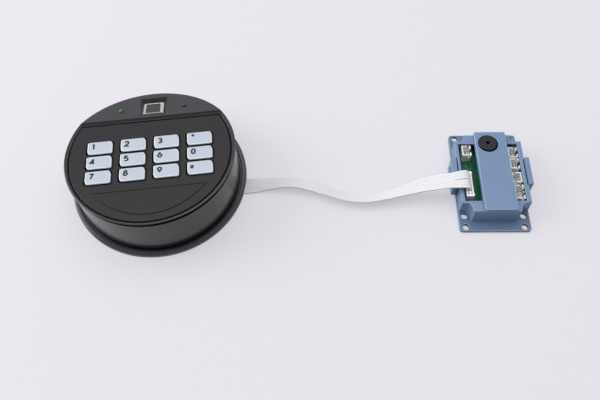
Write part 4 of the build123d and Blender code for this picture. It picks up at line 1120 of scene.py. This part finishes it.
class SAFELOCK_OT_keys(bpy.types.Operator):
    """Make the twelve key caps and their digits"""

    bl_idname = "safelock.keys"
    bl_label = "Keys"

    def execute(self, context):
        sizes = context.scene.safe_lock_sizes
        up = FACE.to_3x3() @ Vector((0, 0, 1))
        names = [name for row in KEY_NAMES for name in row]
        for name, (across, along) in zip(names, key_places()):
            node = "key_" + name
            centre = FACE @ Matrix.Translation((across, along, KEY_PROUD))
            cap = shade_evenly(new_piece("cap_" + name, self.cap_mesh(name, node, centre, sizes)))
            finish_piece(cap, "keys key_bevel key_skirt", node, "key_plastic", node)
            for face in cap.data.polygons:
                # Below the face, the cap's skirt takes the near-black key_skirt finish: painted shade
                if (face.center - centre.translation).dot(up) < -KEY_UNSHADED:
                    face.material_index = 2
                # The bevels take the paler key_bevel colour: a painted highlight
                elif face.normal.dot(up) < TOP_LEVEL:
                    face.material_index = 1
            self.print_sign(context, name, node, centre, sizes)
        return {"FINISHED"}

    def cap_mesh(self, name, node, centre, sizes):
        """The solid's flange and stem, under a cap with a broad, even bevel."""
        shape = bmesh.new()
        outline = [
            shape.verts.new((across * MM, (along + KEY_SHIFT) * MM, 0.0))
            for across, along in rounded_outline(*KEY_HALF, KEY_ROUNDS)
        ]
        lower = shape.faces.new(outline)
        raised = bmesh.ops.extrude_face_region(shape, geom=[lower])["geom"]
        points = [part for part in raised if isinstance(part, bmesh.types.BMVert)]
        top = next(part for part in raised if isinstance(part, bmesh.types.BMFace))
        height = KEY_PROUD + KEY_SKIRT
        bmesh.ops.translate(shape, verts=points, vec=(0, 0, height / KEY_FLATNESS))
        bmesh.ops.bevel(
            shape,
            geom=list(top.edges),
            offset=sizes.key_edge,
            offset_type="OFFSET",
            segments=4,
            profile=0.5,
            affect="EDGES",
            material=-1,
        )
        bmesh.ops.scale(shape, verts=shape.verts, vec=(1, 1, KEY_FLATNESS))
        bmesh.ops.translate(shape, verts=shape.verts, vec=(0, 0, -height))
        bmesh.ops.bisect_plane(
            shape, geom=[*shape.verts, *shape.edges, *shape.faces], plane_co=(0, 0, -KEY_UNSHADED), plane_no=(0, 0, 1)
        )
        bmesh.ops.transform(shape, verts=shape.verts, matrix=centre)
        bmesh.ops.recalc_face_normals(shape, faces=shape.faces)

        rest = bmesh.new()
        rest.from_mesh(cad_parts[node].data)
        bmesh.ops.remove_doubles(rest, verts=rest.verts, dist=NEXT_TO_NOTHING)
        cut = bmesh.ops.bisect_plane(
            rest,
            geom=[*rest.verts, *rest.edges, *rest.faces],
            plane_co=centre @ Vector((0, 0, -height)),
            plane_no=centre.to_3x3() @ Vector((0, 0, 1)),
            clear_outer=True,
        )
        bmesh.ops.holes_fill(rest, edges=[part for part in cut["geom_cut"] if isinstance(part, bmesh.types.BMEdge)])
        lower_part = bpy.data.meshes.new("skirt")
        rest.to_mesh(lower_part)
        rest.free()
        shape.from_mesh(lower_part)
        bpy.data.meshes.remove(lower_part)
        return mesh_from(shape, "cap_" + name)

    def print_sign(self, context, name, node, centre, sizes):
        """The ink of a digit or sign, in the key's far left part."""
        share, stroke_width, shift = SIGN_LOOKS.get(name, DIGIT_LOOK)
        scale = share * sizes.digit_height / (1 + SIGN_STROKE)
        curve = bpy.data.curves.new("sign", "CURVE")
        curve.dimensions = "3D"
        curve.bevel_depth = stroke_width / 2
        curve.bevel_resolution = 2
        curve.twist_mode = "Z_UP"
        curve.use_fill_caps = True
        for stroke in [part for whole in sign_strokes(name) for part in parted(whole)]:
            spline = curve.splines.new("POLY")
            spline.points.add(len(stroke) - 1)
            spline.use_cyclic_u = (Vector(stroke[0]) - Vector(stroke[-1])).length < SIGN_CLOSED
            for point, (across, along) in zip(spline.points, stroke):
                point.co = (across, along, 0.0, 1.0)
        data = curve_mesh(context, curve)
        flat = Matrix.Diagonal((scale, scale, 2 * sizes.ink_height / stroke_width, 1.0))
        data.transform(centre @ Matrix.Translation((shift[0] * MM, shift[1] * MM, 0)) @ flat)
        finish_piece(new_piece("digit_" + name, data), "ink", node, "chip_plastic")


class SAFELOCK_OT_reader(bpy.types.Operator):
    """Make the fingerprint reader and the two lamps"""

    bl_idname = "safelock.reader"
    bl_label = "Fingerprint reader"

    def execute(self, context):
        make_piece("reader_frame", "sensor_bezel", 0.15 * MM, "nickel", "bezel_metal", mend=self.spread)
        make_piece("reader_window", "sensor_glass", 0.08 * MM, "glass", "reader_glass", mend=self.spread)
        for side in ("green", "red"):
            options = {"segments": 3, "mend": self.shift_lamp}
            make_piece("lamp_" + side, "led_" + side, 0.25 * MM, side + "_lamp", "lamp_" + side, **options)
        return {"FINISHED"}

    def spread(self, shape):
        """Widen the frame and its window."""
        shift_points(shape, READER, lambda place: True, reader_spread)

    def shift_lamp(self, shape):
        """Move a lamp with its hole."""
        shift_points(shape, LUNETTE, lambda place: True, pushed(*LAMP_SHIFT))


class SAFELOCK_OT_inside(bpy.types.Operator):
    """Finish what the keypad hides: mat, board, screws and the cable's keypad end"""

    bl_idname = "safelock.inside"
    bl_label = "Inside of the keypad"

    def execute(self, context):
        for node, material in (
            ("key_mat", "mat"),
            ("keypad_board", "board"),
            ("keypad_board_screws", "zinc"),
            ("faceplate_screws", "zinc"),
            ("sensor_module", "chip"),
            ("keypad_socket", "nylon"),
            ("keypad_plug", "nylon"),
            ("ribbon_inner", "ribbon"),
            ("control_board_screws", "zinc"),
            ("contact_pins", "tin"),
        ):
            dress_node(node, material)
        return {"FINISHED"}


class SAFELOCK_OT_box(bpy.types.Operator):
    """Make the control box: its base and its cover"""

    bl_idname = "safelock.box"
    bl_label = "Control box"

    def execute(self, context):
        edge, finishes = context.scene.safe_lock_sizes.box_edge, "box_base box_edge box box_hole"
        # The rounded edges of base and cover take box_edge, a paler colour: painted highlight
        base = make_piece("box_base", "control_base", edge, finishes, "box_blue", edge_material=1)
        for face in base.data.polygons:
            place = (BOX.inverted() @ face.center) / MM
            # The clips keep the cover's lighter colour; the rest of the base is painted darker as shade
            if place.z > FLANGE_THICKNESS + 0.3 and abs(place.x) > CLIP_INNER:
                face.material_index = 2
            # The mount holes' walls take the near-black box_hole colour: painted shade
            elif any(math.dist(place[:2], hole) < MOUNT_HOLE_REACH for hole in MOUNT_HOLES):
                face.material_index = 3
        options = {"segments": 3, "mend": self.mend_cover, "edge_material": 1}
        make_piece("box_cover", "control_cover", edge, "box box_edge", "box_blue", **options)
        return {"FINISHED"}

    def mend_cover(self, shape):
        """Carry the bridge over both ends, round its far end, and widen the left window."""
        near_end, far_end = BRIDGE_ENDS
        bridge_foot = COVER_HEIGHT + 0.2
        for chosen, moved in (
            # The bridge's far end, with its rounder lower edge, and its near end, longer on the right
            (
                lambda place: place.z > bridge_foot and place.y > far_end - 1.3 and in_bridge(place),
                pushed(0, size_of("bridge_reach")),
            ),
            (
                lambda place: bridge_foot < place.z < COVER_HEIGHT + 0.9 and place.y > far_end + 0.1,
                pushed(0, 0, -0.3),
            ),
            (
                lambda place: place.z > bridge_foot and place.y < near_end + 1.3 and in_bridge(place),
                lambda place: place + Vector((0.5 if place.x > BRIDGE_MIDDLE else 0, -0.8, 0)),
            ),
            # The whole bridge, the near wall's foot and the left window's outer edge
            (lambda place: place.z > bridge_foot, pushed(0, 0, size_of("bridge_rise"))),
            (lambda place: place.z < 3 and place.y < 8.5, pushed(0, -0.7)),
            (
                lambda place: place.z > COVER_HEIGHT - 1.5
                and LEFT_WINDOW_EDGE[0] < place.x < LEFT_WINDOW_EDGE[1]
                and near_end + 0.5 < place.y < far_end,
                pushed(-0.6, 0),
            ),
        ):
            shift_points(shape, BOX, chosen, moved)


def in_bridge(place):
    """Whether a point of the control box lies between the bridge's sides, and not at the buzzer's hole."""
    from_buzzer = math.dist(place[:2], BUZZER_PLACE)
    return abs(place.x - BRIDGE_MIDDLE) < BRIDGE_HALF + NEAR and from_buzzer > BUZZER_HOLE + NEAR


class SAFELOCK_OT_board(bpy.types.Operator):
    """Make the control board, its headers, the plug and the buzzer"""

    bl_idname = "safelock.board"
    bl_label = "Control board"

    def execute(self, context):
        for node in ("battery", "door", "solenoid", "alarm", "service"):
            make_piece("socket_" + node, "header_" + node, 0.1 * MM, "nylon", "connector_white", mend=self.open_gap)
        make_piece("ribbon_socket", "ribbon_header", 0.08 * MM, "nylon", "connector_white")
        make_piece("sounder", "buzzer", 0.15 * MM, "buzzer", "buzzer_plastic", mend=self.shrink_buzzer)
        make_piece("chips", "board_chips", 0.08 * MM, "chip", "chip_plastic")
        dress_node("control_board", "board")
        self.lay_traces()
        return {"FINISHED"}

    def open_gap(self, shape):
        """Widen the gap in a header's side wall, so that the board shows through it."""
        box = [BOX.inverted() @ point.co / MM for point in shape.verts]
        low, high = extent(box)
        middle = BOX @ Matrix.Translation((low + high) * 0.5 * MM)
        reach = (high.x - low.x) / 2
        gap_sides = [
            math.copysign(1, place.x - (low.x + high.x) / 2)
            for place in box
            if abs(abs(place.y - (low.y + high.y) / 2) - GAP_HALF) < NEAR / 2 and place.z > high.z - 3 * NEAR
        ]
        if gap_sides:
            side = gap_sides[0]
            shift_points(
                shape,
                middle,
                lambda place: place.x * side > reach - WALL_REACH and abs(place.y) < GAP_HALF + NEAR,
                lambda place: Vector((place.x, place.y * GAP_SHARE, place.z)),
            )

    def lay_traces(self):
        """Copper traces under the solder mask, where the left window shows the board."""
        shape = bmesh.new()
        for line, width in BOARD_TRACES:
            for (across, along), (next_across, next_along) in zip(line, line[1:]):
                start, end = Vector((across, along, 0)), Vector((next_across, next_along, 0))
                run = end - start
                turn = Matrix.Rotation(math.atan2(run.y, run.x), 4, "Z")
                bmesh.ops.create_cube(
                    shape,
                    size=1.0,
                    matrix=BOX
                    @ Matrix.Translation(((start + end) / 2 + Vector((0, 0, BOARD_TOP))) * MM)
                    @ turn
                    @ Matrix.Diagonal(((run.length + width) * MM, width * MM, TRACE_HEIGHT * MM, 1.0)),
                )
        finish_piece(new_piece("traces", mesh_from(shape, "traces")), "trace", "lock", "circuit_board")

    def shrink_buzzer(self, shape):
        """Let the can stand clear of the cover's hole, nearer to its far left side as it was soldered."""
        shift_points(
            shape,
            BOX @ Matrix.Translation((*[value * MM for value in BUZZER_PLACE], 0)),
            lambda place: place.z > BUZZER_FOOT,
            lambda place: Vector((place.x * BUZZER_SHARE, place.y * BUZZER_SHARE, place.z)) + Vector(BUZZER_SHIFT),
        )


class SAFELOCK_PT_panel(bpy.types.Panel):
    """The lock's pieces, in the order in which they are made"""

    bl_idname = "SAFELOCK_PT_panel"
    bl_label = "Safe lock"
    bl_space_type = "VIEW_3D"
    bl_region_type = "UI"
    bl_category = "Safe lock"

    def draw(self, context):
        for operator in PIECE_OPERATORS:
            self.layout.operator(operator.bl_idname)
        for group in (context.scene.safe_lock_sizes, context.scene.safe_lock_colours):
            for name in group.__annotations__:
                self.layout.prop(group, name)


PIECE_OPERATORS = (
    SAFELOCK_OT_studio,
    SAFELOCK_OT_ribbon,
    SAFELOCK_OT_keypad,
    SAFELOCK_OT_keys,
    SAFELOCK_OT_reader,
    SAFELOCK_OT_inside,
    SAFELOCK_OT_box,
    SAFELOCK_OT_board,
)
CLASSES = (SafeLockColours, SafeLockSizes, *PIECE_OPERATORS, SAFELOCK_PT_panel)


def register():
    """Make the classes and their settings known to Blender."""
    for each in CLASSES:
        bpy.utils.register_class(each)
    bpy.types.Scene.safe_lock_colours = bpy.props.PointerProperty(type=SafeLockColours)
    bpy.types.Scene.safe_lock_sizes = bpy.props.PointerProperty(type=SafeLockSizes)


def unregister():
    """Take the classes and their settings out again."""
    del bpy.types.Scene.safe_lock_sizes
    del bpy.types.Scene.safe_lock_colours
    for each in reversed(CLASSES):
        bpy.utils.unregister_class(each)


def main():
    """Make every piece in order."""
    register()
    MATERIALS.update(make_materials(bpy.context.scene.safe_lock_colours))
    bpy.ops.safelock.studio()
    bpy.ops.safelock.ribbon()
    bpy.ops.safelock.keypad()
    bpy.ops.safelock.keys()
    bpy.ops.safelock.reader()
    bpy.ops.safelock.inside()
    bpy.ops.safelock.box()
    bpy.ops.safelock.board()


if __name__ == "__main__":
    main()
